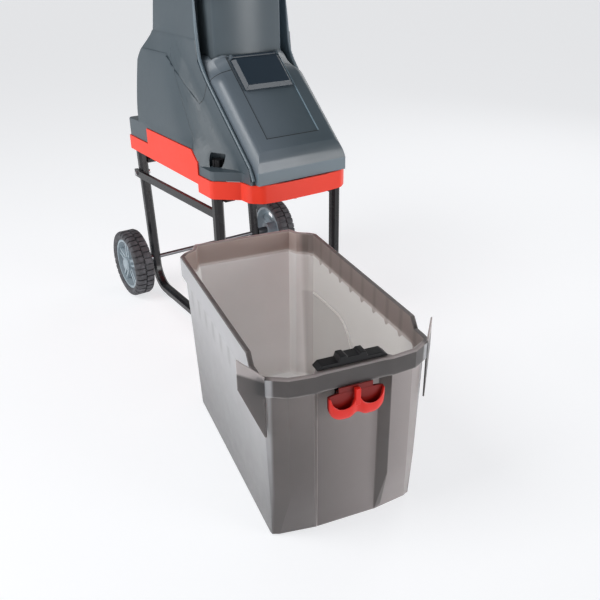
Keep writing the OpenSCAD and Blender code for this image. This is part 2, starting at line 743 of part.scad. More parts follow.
module nose_hood() machine() color("#414d56") {
    hood_shell();
    cover_lugs();
}

// Hopper and feed

hopper_mid = (panel_y + tower_rear) / 2;
hopper_h = mouth_z - tower_z;
collar_h = min(22, hopper_h / 4);
lip_h = min(14, hopper_h / 4);
mouth_r = 46;
foot_r = 30;
function hopper_foot(d) = round_rect(tower_top_half - d, panel_y + 2 + d, tower_rear - 4 - d, foot_r - d);
function hopper_rim(d) = round_rect(mouth_half - d, hopper_mid - mouth_deep + d, hopper_mid + mouth_deep - d,
    mouth_r - d);
tower_top_half = tower_half - 8;
module hopper_form(d) skin([
    [tower_z + (d > 0 ? hopper_t : 0), hopper_foot(d)],
    [tower_z + collar_h, hopper_foot(d)],
    [mouth_z - lip_h, hopper_rim(d)],
    [mouth_z + (d > 0 ? past : 0), hopper_rim(d)]]);
rim_out = 7;
module hopper_funnel() machine() color("#46525a") difference() {
    union() {
        hopper_form(0);
        upright(hopper_rim(-rim_out), mouth_z - lip_h + 2, mouth_z);
    }
    hopper_form(hopper_t);
    block([-throat_half, throat_front, tower_z - past], [throat_half, throat_rear, tower_z + 2 * hopper_t]);
}

function box_ring(half, front, rear) = mirrored([[half, front], [half, rear]]);
feed_front = feed_mid - feed_l / 2;
feed_rear = feed_mid + feed_l / 2;
module chute_form(d) skin([
    [plate_top - (d > 0 ? 0 : past), box_ring(feed_half + d, feed_front - d, feed_rear + d)],
    [plate_top + 8, box_ring(feed_half + d, feed_front - d, feed_rear + d)],
    [throat_z, box_ring(throat_half + d, throat_front - d, throat_rear + d)],
    [tower_z + (d > 0 ? 0 : past), box_ring(throat_half + d, throat_front - d, throat_rear + d)]]);
module feed_chute() machine() color("#3b464d") difference() {
    union() {
        chute_form(chute_t);
        upright(box_ring(feed_half + 9, feed_front - 9, feed_rear + 9), plate_top, plate_top + 4);
    }
    chute_form(0);
}

// Motor and cutter

module at_motor() machine() translate([0, motor_y, 0]) children();
blade_x = feed_half + 1;
blade_w = 30;
blade_bolts = [feed_mid - 26, feed_mid + 26];
plate_half = skirt_half - shell_t - 4;
plate_line = mirrored([[115, -bulge_front - 8], [122, knob_y + 13], [150, knob_y + 35], [plate_half,
    knob_y + 58],
    [plate_half, -notch - 20]]);
flange_r = stator_d / 2 + 9;
screw_r = stator_d / 2 + 4.5;
module plate_screw_places() both_sides() for (y = post_ys) translate([post_in + 14, y, 0]) children();
module motor_screw_places() for (a = [45:90:315]) rotate(a) translate([screw_r, 0, 0]) children();
module motor_plate() machine() color("#a4a9ad") difference() {
    upright(plate_line, plate_z, plate_top);
    block([-feed_half, feed_front, plate_z - past], [feed_half, feed_rear, plate_top + past]);
    translate([0, motor_y, plate_z - past]) cylinder(d = bearing_d + 4, h = plate_t + 2 * past);
    plate_screw_places() translate([0, 0, plate_z - past]) cylinder(d = 5 + 2 * hole_fit,
        h = plate_t + 2 * past);
    translate([0, motor_y, 0]) motor_screw_places() translate([0, 0, plate_z - past])
        cylinder(d = 5 + 2 * slide_fit, h = plate_t + 2 * past);
    for (y = blade_bolts) translate([blade_x + blade_w / 2, y, plate_z - past])
        cylinder(d = bolt_d + 2 * slide_fit, h = plate_t + 2 * past);
}
module plate_screws() machine() color("#8c9095") plate_screw_places() {
    translate([0, 0, plate_z - 3]) cylinder(d = 10, h = 3);
    translate([0, 0, plate_z - 1]) cylinder(d = 5 - 2 * slide_fit, h = plate_t + 14);
}
module end_bell(flanged) difference() {
    union() {
        cylinder(d = stator_d, h = bell_h);
        if (flanged) cylinder(r = flange_r, h = 5);
    }
    translate([0, 0, bearing_in]) cylinder(d = bearing_d + 2 * slide_fit, h = bell_h);
    translate([0, 0, bearing_in + bearing_w + 0.2]) cylinder(d = stator_d - 12, h = bell_h);
    translate([0, 0, -past]) cylinder(d = shaft_d + 4, h = bell_h);
    if (flanged) motor_screw_places() translate([0, 0, -past]) cylinder(d = 5 + 2 * slide_fit, h = 8);
}
module bearing() difference() {
    cylinder(d = bearing_d, h = bearing_w);
    translate([0, 0, -past]) cylinder(d = shaft_d + 2 * run_fit, h = bearing_w + 2 * past);
}
module lower_end_bell() at_motor() color("#b0b4b8") translate([0, 0, plate_top]) end_bell(true);
module upper_end_bell() at_motor() color("#b0b4b8") translate([0, 0, motor_top]) mirror([0, 0,
    1]) end_bell(false);
module lower_bearing() at_motor() color("#c4c7ca") translate([0, 0, plate_top + bearing_in]) bearing();
module upper_bearing() at_motor() color("#c4c7ca")
    translate([0, 0, motor_top - bearing_in - bearing_w]) bearing();
core_r = stator_d * 0.3;
module stator() at_motor() color("#6d5a4a") translate([0, 0, bell_top]) difference() {
    cylinder(d = stator_d, h = stator_l);
    translate([0, 0, -past]) cylinder(r = core_r + 0.5, h = stator_l + 2 * past);
}
module motor_screws() at_motor() color("#8c9095") motor_screw_places() {
    translate([0, 0, plate_z]) cylinder(d = 5, h = plate_t + 5);
    translate([0, 0, plate_top + 5]) cylinder(d = 8, h = 3);
}
cap_d = 40;
module capacitor() machine() color("#c9cbcc") translate([106, motor_y - 52, plate_top]) {
    cylinder(d = cap_d, h = 68);
    translate([0, 0, 68]) cylinder(d = cap_d - 12, h = 5);
    translate([-cap_d / 2 - 4, -9, 0]) cube([cap_d + 8, 18, 3]);
}
blade_t = 8;
module counter_blade() machine() color("#9ea3a8") difference() {
    block([blade_x, feed_front, plate_z - blade_t], [blade_x + blade_w, feed_rear, plate_z]);
    for (y = blade_bolts) translate([blade_x + blade_w / 2, y, plate_z - blade_t - past])
        cylinder(d = bolt_d + 2 * slide_fit, h = blade_t + 2 * past);
}
module counter_blade_bolts() machine() color("#7f8388") for (y = blade_bolts)
    translate([blade_x + blade_w / 2, y, 0]) {
        translate([0, 0, plate_z - blade_t + 1]) cylinder(d = bolt_d, h = plate_t + blade_t - 1);
        translate([0, 0, plate_top]) cylinder(d = 11, h = 4, $fn = 6);
    }

shaft_low = disc_low - 18;
shaft_high = motor_top + 18;
module rotor_shaft() at_motor() color("#9ba0a5") {
    translate([0, 0, shaft_low]) cylinder(d = shaft_d, h = shaft_high - shaft_low);
    translate([0, 0, bell_top + 3]) cylinder(r = core_r, h = stator_l - 6);
}
fan_low = motor_top + 3;
module cooling_fan() at_motor() color("#2b2d30") translate([0, 0, fan_low]) difference() {
    union() {
        cylinder(d = shaft_d + 12, h = 13);
        cylinder(d = fan_d - 4, h = 2);
        for (a = [0:45:315]) rotate(a) translate([shaft_d / 2 + 2, -1.2,
            0]) cube([fan_d / 2 - shaft_d / 2 - 4, 2.4, 13]);
    }
    translate([0, 0, -past]) cylinder(d = shaft_d + 2 * slide_fit, h = 20);
}
knife_mid = disc_d / 2 - 6 - knife_l / 2;
knife_bolt_r = [knife_mid - knife_l * 0.27, knife_mid + knife_l * 0.27];
module knife_places() for (a = [90, 270]) rotate(a) children();
module knife_disc() at_motor() color("#8f949a") difference() {
    union() {
        translate([0, 0, disc_low]) cylinder(d = disc_d, h = disc_t, $fn = 120);
        translate([0, 0, disc_z]) cylinder(d = shaft_d + 32, h = 12);
    }
    translate([0, 0, disc_low - past]) cylinder(d = shaft_d + 2 * slide_fit, h = 40);
    knife_places() {
        block([knife_mid - knife_l / 2, knife_w / 2 + 1, disc_low - past],
            [knife_mid + knife_l / 2 - 6, knife_w / 2 + 15, disc_z + past]);
        for (r = knife_bolt_r) translate([r, 0, disc_low - past])
            cylinder(d = bolt_d + 2 * slide_fit, h = disc_t + 2 * past);
    }
}
module knives() at_motor() color("#c3c8cc") knife_places() difference() {
    rotate([90, 0, 90]) translate([0, 0, knife_mid - knife_l / 2]) linear_extrude(knife_l)
        polygon([[-knife_w / 2, disc_z], [knife_w / 2 + 4, disc_z + knife_t - 1], [knife_w / 2 + 4,
            disc_z + knife_t],
            [-knife_w / 2, disc_z + knife_t]]);
    for (r = knife_bolt_r) translate([r, 0, disc_z - past])
        cylinder(d = bolt_d + 2 * slide_fit, h = knife_t + 2 * past);
}
module knife_bolts() at_motor() color("#6f7377") knife_places() for (r = knife_bolt_r) translate([r, 0, 0]) {
    translate([0, 0, disc_low]) cylinder(d = bolt_d, h = disc_t + knife_t);
    translate([0, 0, disc_z + knife_t]) cylinder(d = 12, h = 2);
    translate([0, 0, disc_low - 5]) cylinder(d = 11.5, h = 5, $fn = 6);
}
module disc_nut() at_motor() color("#75797e") difference() {
    union() {
        translate([0, 0, disc_low - 3]) cylinder(d = shaft_d + 22, h = 3);
        translate([0, 0, disc_low - 15]) cylinder(d = shaft_d + 13, h = 12, $fn = 6);
    }
    translate([0, 0, disc_low - 20]) cylinder(d = shaft_d + 2 * slide_fit, h = 30);
}

// Power inlet, switch and locks

module rear_face() machine() translate([0, rear_wall_y, inlet_z]) rotate([-90, 0, 0]) children();
module power_inlet() rear_face() color("#1f2022") {
    difference() {
        union() {
            translate([-29, -29, 0]) cube([58, 58, 4]);
            cylinder(r = inlet_r + 5, h = 24);
            translate([0, 0, -14]) cylinder(r = inlet_r, h = 15);
        }
        translate([0, 0, 4]) cylinder(r = inlet_r + 1, h = 30);
    }
    for (x = [-7, 0, 7]) translate([x - 1, x == 0 ? -8.5 : 1, 3]) cube([2, 5, 15]);
}
module reset_button() rear_face() color("#b9322a") translate([reset_x, 0, 0]) {
    translate([0, 0, -shell_t - 8]) cylinder(d = reset_d, h = shell_t + 15);
    translate([0, 0, -shell_t - 6]) cylinder(d = reset_d + 5, h = 3);
}

plate_h = hood_h - shell_t - 4.4;
box_w = 88;
box_l = 48;
box_h = 34;
button_xs = [-24, 24];
button_low = plate_h - 10;
module switch_box() machine() on_slope() color("#202225") difference() {
    union() {
        block([-cover_hole_half - 5, box_s - cover_hole_l / 2 - 5, plate_h],
            [cover_hole_half + 5, box_s + cover_hole_l / 2 + 5, plate_h + 4]);
        block([-box_w / 2, box_s - box_l / 2, plate_h - box_h], [box_w / 2, box_s + box_l / 2,
            plate_h + past]);
    }
    for (x = button_xs) translate([x, box_s, button_low - button_travel - 2])
        cylinder(d = button_d + 2 * hole_fit, h = 40);
}
module button(x) machine() on_slope() translate([x, box_s, button_low]) {
    cylinder(d = button_d, h = 16);
    translate([0, 0, 16]) cylinder(d = button_d - 4, h = 1.5);
}
module start_button() color("#2f8f4e") button(button_xs[0]);
module stop_button() color("#c3312a") button(button_xs[1]);

cover_gap = 0.4;
cover_bevel = 9;
module switch_cover() machine() on_slope() color("#36424b") difference() {
    union() {
        skin([[hood_h + cover_gap, box_ring(cover_half, cover_s, cover_s + cover_l - 4)],
            [hood_h + 3, box_ring(cover_half, cover_s, cover_s + cover_l - 4)],
            [cover_top, box_ring(cover_half - cover_bevel, cover_s + cover_bevel, cover_s + cover_l - 8)]]);
        cross_pin(2 * pivot_r, -cover_half + 6, cover_half - 6, pivot_s, pivot_h);
        block([-cover_half + 6, cover_s + cover_l - 10, pivot_h - 2], [cover_half - 6, pivot_s, pivot_h + 2]);
    }
    skin([[hood_h - past, box_ring(cover_half - 4, cover_s + 4, cover_s + cover_l - 13)],
        [hood_h + 3, box_ring(cover_half - 4, cover_s + 4, cover_s + cover_l - 13)],
        [cover_top - 3, box_ring(cover_half - cover_bevel - 2, cover_s + cover_bevel + 2,
            cover_s + cover_l - 13)]]);
    cross_pin(pin_d + 2 * run_fit, -cover_half, cover_half, pivot_s, pivot_h);
}
module cover_pin() machine() on_slope() color("#9a9fa4")
    cross_pin(pin_d, -cover_half, cover_half, pivot_s, pivot_h);

knob_r = 15;
knob_h = 17;
stud_low = band_z - 13;
module lock_knob() translate([knob_x, knob_y, 0]) {
    translate([0, 0, bulge_z + hole_fit]) cylinder(r = knob_r - 4, h = knob_h);
    for (a = [0:72:288]) rotate(a) translate([knob_r - 4.5, 0, bulge_z + hole_fit]) cylinder(r = 4,
        h = knob_h);
    translate([0, 0, stud_low]) cylinder(d = knob_stud_d, h = bulge_z + 2 - stud_low);
}
module left_lock_knob() machine() color("#1b1c1e") scale_side(-1) lock_knob();
module right_lock_knob() machine() color("#1b1c1e") lock_knob();

// Chip bin, in its own axes: front at y = 0, middle at x = 0

bin_rear_grow = 19;
panel_half = 56;
panel_reach = 16;
// The pilasters beside the front panel: inner edge, outer edge and how they lean in near the floor
pilaster_in = [70, -35];
pilaster_out = [112, -29];
pilaster_bend_z = 100;
front_low_y = -13.5;
corner_run = [bin_top_half + 20, 10];
// Views of the bin from the side, the front and above, cut with each other
bin_reach = bin_z * 1.2;
bin_side_line = [[front_low_y, 0], [bin_l, 0], [bin_l + bin_rear_grow * 1.2, bin_reach], [-80, bin_reach],
    [-80, pilaster_bend_z + 2], [pilaster_in[1] - 1, pilaster_bend_z]];
bin_front_line = mirrored([[bin_half, -20], [bin_half + (bin_top_half - bin_half) * 1.2, bin_reach]]);
corner_sum = bin_half + bin_l - 19;
bin_sides = [pilaster_out, corner_run, [corner_run[0], corner_sum - corner_run[0]],
    [corner_sum - bin_l - 43, bin_l + 43]];
bin_plan = mirrored(concat([[panel_half, -panel_reach], pilaster_in], bin_sides));
// The rim band runs straight over the front panel
band_plan = mirrored(concat([[pilaster_in[0] - 8, pilaster_in[1] + 3]], bin_sides));
module bin_form(plan, d) intersection() {
    side_view(inset(bin_side_line, d), 300);
    front_view(inset(bin_front_line, d), -100, bin_l + 80);
    upright(inset(plan, d), -40, bin_reach + 40);
}
// The top edge in side view: low in front, high at the sides and back
bin_top_side = [[-80, -past], [bin_l + 60, -past], [bin_l + 60, bin_z], [44, bin_z], [30, front_rim_z],
    [-80, front_rim_z]];
band_side = [[-80, front_rim_z - band_h], [30, front_rim_z - band_h], [44, bin_z - side_band_h],
    [bin_l + 60, bin_z - side_band_h], [bin_l + 60, bin_z + past], [-80, bin_z + past]];
window_half = 34;
window_low = 258;
grip_low = 262;
neck_high = grip_low + 24;
window_high = neck_high + latch_travel + 3;
wing_turn = 36;
wing_root = 14;
wing_l = (wing_half - bin_top_half + wing_root) / cos(wing_turn);
module wing() translate([bin_top_half - wing_root, -5, 0]) rotate(wing_turn) rotate([90, 0,
    0]) linear_extrude(bin_t)
    polygon([[0, front_rim_z - 45], [11, 205], [14, 205], [wing_l, front_rim_z - 14], [wing_l,
        front_rim_z + 22],
        [0, front_rim_z - 2]]);
module bin_shell() bin_place() color("#8b8481") difference() {
    union() {
        intersection() {
            union() {
                bin_form(bin_plan, 0);
                intersection() {
                    bin_form(band_plan, -band_out);
                    side_view(band_side, 300);
                }
            }
            side_view(bin_top_side, 300);
        }
        both_sides() wing();
    }
    bin_form(bin_plan, bin_t);
    block([-window_half, -40, window_low], [window_half, 0, window_high]);
}

bar_half = 64;
bar_h = 8;
bar_taper = 9;
block_half = 26;
block_h = 17;
bar_low = front_rim_z + 1;
stem_y = -panel_reach + bin_t + 0.6;
stem_half = 24;
stem_t = 4;
// The bar seen from the front: tapered ends and a raised, notched middle
bar_line = mirrored([[bar_half, 0], [bar_half - bar_taper, bar_h], [block_half, bar_h], [block_half - 3,
    block_h],
    [block_half - 14, block_h], [block_half - 16, block_h - 3]]);
module latch_bar() bin_place() color("#191a1c") {
    translate([0, 0, bar_low]) front_view(bar_line, pilaster_in[1] + 4, stem_y + stem_t);
    block([-stem_half, stem_y, grip_low + 2], [stem_half, stem_y + stem_t, bar_low + 2]);
}
cup_r = 22;
scoop_r = 17;
cup_x = grip_half - cup_r;
cup_z = grip_low + cup_r;
cup_top = cup_z + 15;
grip_t = 15;
grip_back = pilaster_in[1] - band_out + 1.6;
grip_floor = 4;
rib_half = 5;
rib_top = front_rim_z - band_h;
// Two finger cups that open to the front and upwards, beside a middle rib
module cup_outline(r, rise) for (side = [-1, 1]) translate([side * cup_x, cup_z + rise]) {
    circle(r = r);
    translate([-r, 0]) square([2 * r, cup_top - cup_z]);
}
module grip_layer(front, rear) translate([0, rear, 0]) rotate([90, 0, 0]) linear_extrude(rear - front)
    children();
module latch_grip() bin_place() color("#d63a2e") {
    difference() {
        grip_layer(grip_back - grip_t, grip_back) intersection() {
            cup_outline(cup_r, 0);
            translate([-grip_half, 0]) square([2 * grip_half, cup_top]);
        }
        grip_layer(grip_back - grip_t - past, grip_back - grip_floor) cup_outline(scoop_r, 3);
    }
    block([-rib_half, grip_back - grip_t + 2, cup_z - 4], [rib_half, grip_back, rib_top]);
    block([-cup_x - 4, grip_back - grip_floor, cup_z], [cup_x + 4, grip_back, rib_top]);
    block([-cup_x, grip_back - grip_floor, grip_low + 4], [cup_x, grip_back, cup_z]);
    block([-22, grip_back - past, grip_low + 5], [22, stem_y, neck_high]);
}

left_side_frame();
right_side_frame();
left_rear_leg();
right_rear_leg();
left_side_rail();
right_side_rail();
rear_cross_bar();
axle();
wheel_spacers();
foot_pads();
frame_bolts();
base_tray();
bin_guides();
hinge_pins();
interlock_switch();
interlock_plunger();
left_tyre();
left_wheel();
left_hub_cap();
right_tyre();
right_wheel();
right_hub_cap();
lower_housing();
nose_hood();
tower_shell();
hopper_funnel();
feed_chute();
motor_plate();
plate_screws();
lower_end_bell();
stator();
upper_end_bell();
lower_bearing();
upper_bearing();
motor_screws();
capacitor();
counter_blade();
counter_blade_bolts();
power_inlet();
reset_button();
switch_box();
start_button();
stop_button();
switch_cover();
cover_pin();
left_lock_knob();
right_lock_knob();
rotor_shaft();
cooling_fan();
knife_disc();
knives();
knife_bolts();
disc_nut();
bin_shell();
latch_bar();
latch_grip();
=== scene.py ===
"""A garden shredder with its chip bin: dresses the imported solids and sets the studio."""

import math

import bmesh
import bpy
from mathutils import Matrix, Vector
from mathutils.bvhtree import BVHTree

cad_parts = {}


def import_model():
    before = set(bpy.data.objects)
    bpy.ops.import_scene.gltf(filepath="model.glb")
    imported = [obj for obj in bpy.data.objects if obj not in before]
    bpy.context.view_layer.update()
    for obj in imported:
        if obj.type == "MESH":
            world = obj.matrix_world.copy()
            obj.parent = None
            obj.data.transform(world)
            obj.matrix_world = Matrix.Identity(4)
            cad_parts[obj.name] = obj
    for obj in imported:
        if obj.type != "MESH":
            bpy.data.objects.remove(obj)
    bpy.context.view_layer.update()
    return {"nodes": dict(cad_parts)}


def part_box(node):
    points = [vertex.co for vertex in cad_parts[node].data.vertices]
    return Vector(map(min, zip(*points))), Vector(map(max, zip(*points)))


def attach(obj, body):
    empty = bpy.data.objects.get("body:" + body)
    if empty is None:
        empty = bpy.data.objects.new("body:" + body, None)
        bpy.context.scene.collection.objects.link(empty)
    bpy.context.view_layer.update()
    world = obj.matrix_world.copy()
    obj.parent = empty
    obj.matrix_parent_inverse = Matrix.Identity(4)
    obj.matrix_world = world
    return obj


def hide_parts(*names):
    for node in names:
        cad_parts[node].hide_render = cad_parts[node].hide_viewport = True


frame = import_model()

bl_info = {
    "name": "Garden shredder",
    "version": (1, 0, 0),
    "blender": (4, 5, 0),
    "location": "View3D > Sidebar > Shredder",
    "description": "Builds the visible pieces of a wheeled garden shredder around its solids",
    "category": "Object",
}

MM = 0.001
SIDES = (("left", -1), ("right", 1))

# Where the machine's own origin, below the middle of its axle, lies in the part
AXLE_LOW, AXLE_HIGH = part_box("axle")
MACHINE = Vector(((AXLE_LOW[0] + AXLE_HIGH[0]) / 2, (AXLE_LOW[1] + AXLE_HIGH[1]) / 2, 0))
# Turn of the bin and the place of its front edge's middle, from the machine's origin
BIN_TURN = math.radians(-11.2)
BIN_PLACE = Matrix.Translation(MACHINE + Vector((-0.3, -1.112, 0))) @ Matrix.Rotation(BIN_TURN, 4, "Z")

# Depth and height of the foot of the housing's front slope, in millimetres, and the slope's direction
SLOPE_Y, SLOPE_Z = -523, 483
SLOPE_ALONG = (math.cos(math.radians(42)), math.sin(math.radians(42)))
SLOPE_FOOT = MACHINE + Vector((0, SLOPE_Y * MM, SLOPE_Z * MM))

# The seam's front leg on the housing's sides: depth and height of its foot, its lean and length, in metres
SEAM_FOOT = (-0.3167, 0.6)
SEAM_LEAN = (0.8787, 0.4775)
SEAM_LENGTH = 0.058

# How soft a drawn shadow line's edges are, in metres, and how dark the line is
LINE_SOFT = 0.0004
LINE_SHADE = 0.12
# Height of the grain in metres, on dull and on glossy housing plastic
GRAIN_DEPTH = 0.000012
FINE_DEPTH = 0.000003
# Lumps to the metre, and detail, of the flow marks in moulded plastic
CLOUD = (9.0, 4.0)
# Painted rib shadows to the metre along the bin's sides
BIN_RIBS = 20.0


def turned(back, up, direction):
    """How far a place lies along a direction in depth and height, and how far off it."""
    return back * direction[0] + up * direction[1], up * direction[0] - back * direction[1]


# Shader sockets as numbers and colours


class Socket:
    """A shader output that can be used in Python sums."""

    def __init__(self, maker, output):
        self.maker = maker
        self.output = output

    def math(self, operation, *values):
        """Adds one Math node on this value."""
        return self.maker.node("ShaderNodeMath", {"operation": operation}, [self, *values])

    def __add__(self, other):
        return self.math("ADD", other)

    __radd__ = __add__

    def __mul__(self, other):
        return self.math("MULTIPLY", other)

    __rmul__ = __mul__

    def __sub__(self, other):
        return self.math("SUBTRACT", other)

    def __rsub__(self, other):
        return self.maker.node("ShaderNodeMath", {"operation": "SUBTRACT"}, [other, self])

    def __abs__(self):
        return self.math("ABSOLUTE")

    def above(self, level, soft):
        """From 0 to 1 as the value passes the level, over the soft width."""
        return self.maker.node("ShaderNodeMapRange", {"interpolation_type": "SMOOTHSTEP"},
                               {"Value": self, "From Min": level - soft, "From Max": level + soft})

    def below(self, level, soft):
        """From 1 to 0 as the value passes the level."""
        return 1 - self.above(level, soft)

    def within(self, low, high, soft=0.001):
        """1 where the value lies between two levels."""
        return self.above(low, soft) * self.below(high, soft)


class Finish:
    """One procedural material, with its Principled shader."""

    def __init__(self, name, colour, roughness, **constants):
        self.material = bpy.data.materials.new(name)
        self.material.use_nodes = True
        self.tree = self.material.node_tree
        self.shader = self.tree.nodes["Principled BSDF"]
        self.shader.inputs["Base Color"].default_value = (*colour[:3], 1.0)
        self.shader.inputs["Roughness"].default_value = roughness
        for key, value in constants.items():
            self.shader.inputs[key.replace("_", " ").title().replace("Ior", "IOR")].default_value = value

    def node(self, kind, settings=None, inputs=None, output=0):
        """Adds a node, sets it up, feeds its inputs and gives back one output."""
        made = self.tree.nodes.new(kind)
        for key, value in (settings or {}).items():
            setattr(made, key, value)
        pairs = inputs.items() if isinstance(inputs, dict) else enumerate(inputs or [])
        for key, value in pairs:
            if isinstance(value, Socket):
                self.tree.links.new(value.output, made.inputs[key])
            else:
                made.inputs[key].default_value = value
        return Socket(self, made.outputs[output])

    def place(self):
        """The point on the piece, in metres."""
        return self.node("ShaderNodeTexCoord", output="Object")

    def split(self, vector):
        """The three parts of a vector."""
        parts = self.node("ShaderNodeSeparateXYZ", None, [vector]).output.node
        return [Socket(self, output) for output in parts.outputs]

    def noise(self, scale, detail=3.0, stretch=None):
        """Soft noise with so many lumps to the metre."""
        point = self.place()
        if stretch:
            point = self.node("ShaderNodeMapping", {"vector_type": "POINT"},
                              {"Vector": point, "Scale": stretch})
        return self.node("ShaderNodeTexNoise", {"noise_dimensions": "3D"},
                         {"Vector": point, "Scale": scale, "Detail": detail, "Roughness": 0.55}, "Fac")

    def specks(self, scale):
        """Cells for moulded grain."""
        return self.node("ShaderNodeTexVoronoi", {"feature": "F1"},
                         {"Vector": self.place(), "Scale": scale}, "Distance")

    def mix(self, mask, first, second):
        """A colour between two."""
        first, second = (tone if isinstance(tone, Socket) else (*tone[:3], 1.0) for tone in (first, second))
        return self.node("ShaderNodeMix", {"data_type": "RGBA"}, {"Factor": mask, 6: first, 7: second}, 2)

    def tones(self, mask, colour, low, high):
        """A colour between two shades of one colour."""
        return self.mix(mask, shade(colour, low), shade(colour, high))

    def feed(self, name, value):
        """Links a value to a Principled input."""
        self.tree.links.new(value.output, self.shader.inputs[name])

    def closed(self, tone, roughness, height, depth):
        """Feeds colour, roughness and a bump of so many metres, and gives back the material."""
        self.feed("Base Color", tone)
        self.feed("Roughness", roughness)
        self.feed("Normal", self.node("ShaderNodeBump", None,
                                      {"Strength": 1.0, "Distance": depth, "Height": height}))
        return self.material

    def grained(self, tone, cloud, roughness, depth):
        """Closes a moulded plastic, with rubbed patches and fine grain."""
        roughness = cloud * 0.12 + self.noise(60.0, 2.0) * 0.08 + (roughness - 0.1)
        return self.closed(tone, roughness, self.noise(600.0, 1.0), depth)


def shade(colour, factor):
    """A colour made darker or lighter."""
    return tuple(min(1.0, part * factor) for part in colour[:3])


def moulded(name, colour, roughness, gloss=0.5, vary=0.1, depth=GRAIN_DEPTH):
    """Moulded plastic: fine grain, faint flow marks and rubbed patches."""
    finish = Finish(name, colour, roughness, specular_ior_level=gloss)
    cloud = finish.noise(*CLOUD)
    return finish.grained(finish.tones(cloud, colour, 1 - vary, 1 + vary), cloud, roughness, depth)


def coated(name, colour, roughness, gloss):
    """Glossy coat on steel, with a faint orange peel."""
    finish = Finish(name, colour, roughness, coat_weight=0.12, coat_roughness=0.12, specular_ior_level=gloss)
    tone = finish.tones(finish.noise(14.0), colour, 0.85, 1.2)
    roughness = finish.noise(35.0) * 0.16 + (roughness - 0.08)
    return finish.closed(tone, roughness, finish.noise(420.0, 1.0), 0.00012)


def steel(name, colour, roughness, along=(1.0, 1.0, 30.0)):
    """Bare metal with fine drawn lines."""
    finish = Finish(name, colour, roughness, metallic=1.0)
    lines = finish.noise(240.0, 3.0, along)
    tone = finish.tones(finish.noise(25.0), colour, 0.82, 1.12)
    return finish.closed(tone, lines * 0.25 + (roughness - 0.12), lines, 0.00004)


def rubber(name, colour, roughness):
    """Dull rubber with dust in it."""
    finish = Finish(name, colour, roughness)
    dust = finish.noise(55.0, 5.0)
    tone = finish.tones(dust.above(0.56, 0.14), colour, 1, 1.9)
    return finish.closed(tone, dust * 0.15 + (roughness - 0.08), finish.noise(700.0, 2.0), 0.00015)


def seamed_plastic(name, colour, roughness, gloss):
    """Housing plastic with a painted shadow line at the seam's front leg, and painted shade and light in the
    panel's grooves.
    """
    finish = Finish(name, colour, roughness, specular_ior_level=gloss)
    x, y, z = finish.split(finish.place())
    side = abs(x - MACHINE.x)
    across, along = turned(y - (MACHINE.y + SEAM_FOOT[0]), z - SEAM_FOOT[1], SEAM_LEAN)
    seam = across.within(-0.0011, 0.0011, LINE_SOFT) * along.within(0.0, SEAM_LENGTH)
    seam = seam * side.above(0.13, 0.002)
    groove = side.within(0.094, 0.1245) * y.within(MACHINE.y - 0.313, MACHINE.y - 0.24, 0.006)
    groove = groove * z.above(0.66, 0.004)
    cloud = finish.noise(*CLOUD)
    # Painted shade darkens the left groove; painted light brightens the right one, as if lit from the wall
    # beside it
    groove_shade_and_light = finish.tones(x.above(MACHINE.x, 0.01), colour, 0.85, 2.4)
    tone = finish.mix(groove, finish.tones(cloud, colour, 0.9, 1.1), groove_shade_and_light)
    tone = finish.mix(seam, tone, shade(colour, LINE_SHADE))
    return finish.grained(tone, cloud, groove * 0.3 + roughness, GRAIN_DEPTH)


def hood_plastic(name, colour, roughness, gloss):
    """Housing plastic with painted light, paler to the left and low in front, painted shadow lines round the
    field and at a seam, and a painted highlight on the field's right edge.
    """
    finish = Finish(name, colour, roughness, specular_ior_level=gloss)
    x, y, z = finish.split(finish.place())
    x = x - MACHINE.x
    along, off = turned(y - SLOPE_FOOT.y, z - SLOPE_FOOT.z, SLOPE_ALONG)
    # The painted shadow lines, in metres across the hood and up its slope; the field's right line is a
    # painted highlight
    top = off.above(0.027, 0.002)
    beside = along.within(0.0492, 0.29)
    left = x.within(-0.0738, -0.0712, LINE_SOFT) * beside
    right = x.within(0.0708, 0.0732, LINE_SOFT) * beside * top
    foot = along.within(0.0492, 0.0516, LINE_SOFT) * x.within(-0.0735, 0.0725)
    seam = along.within(0.2508, 0.2532, LINE_SOFT) * abs(x).above(0.074, 0.001)
    line = (left + foot) * top + seam
    cloud = finish.noise(*CLOUD)
    tone = finish.tones(cloud, colour, 0.9, 1.1)
    # Painted light: the slope pales towards the left shoulder, in a paler bluish copy of the colour
    tone = finish.mix(x.below(-0.03, 0.09) * 0.5, tone, [colour[2] * share for share in (1.85, 2.2, 2.6)])
    # Painted reflection of the pale floor on the nose's low front
    front = z.below(0.478, 0.001) * y.below(MACHINE.y - 0.54, 0.002)
    tone = finish.mix(front, tone, shade(colour, 2.0))
    # Painted highlight along the field's right edge
    tone = finish.mix(right, tone, shade(colour, 3.4))
    # Painted shadow lines round the field and at the seam
    tone = finish.mix(line, tone, shade(colour, LINE_SHADE))
    return finish.grained(tone, cloud, line * 0.3 + roughness, FINE_DEPTH)


def in_bin(finish):
    """The three parts of the point on the bin, in the bin's own axes."""
    back = BIN_PLACE.inverted()
    return finish.split(finish.node("ShaderNodeMapping", {"vector_type": "POINT"}, {
        "Vector": finish.place(), "Location": back.to_translation(), "Rotation": back.to_euler()}))


def smoky(name, colour, roughness=0.36):
    """Frosted plastic that lets light through its thin wall, with the point on it in the bin's axes."""
    finish = Finish(name, colour, roughness, subsurface_weight=0.75, subsurface_radius=(1.0, 0.96, 0.93),
                    subsurface_scale=0.03)
    return finish, *in_bin(finish)


def frosted(finish, tone, roughness=None):
    """Closes a smoky plastic, with fine grain and, if no roughness is given, uneven gloss."""
    if roughness is None:
        roughness = finish.noise(40.0, 2.0) * 0.12 + 0.3
    return finish.closed(tone, roughness, finish.specks(900.0), 0.00005)


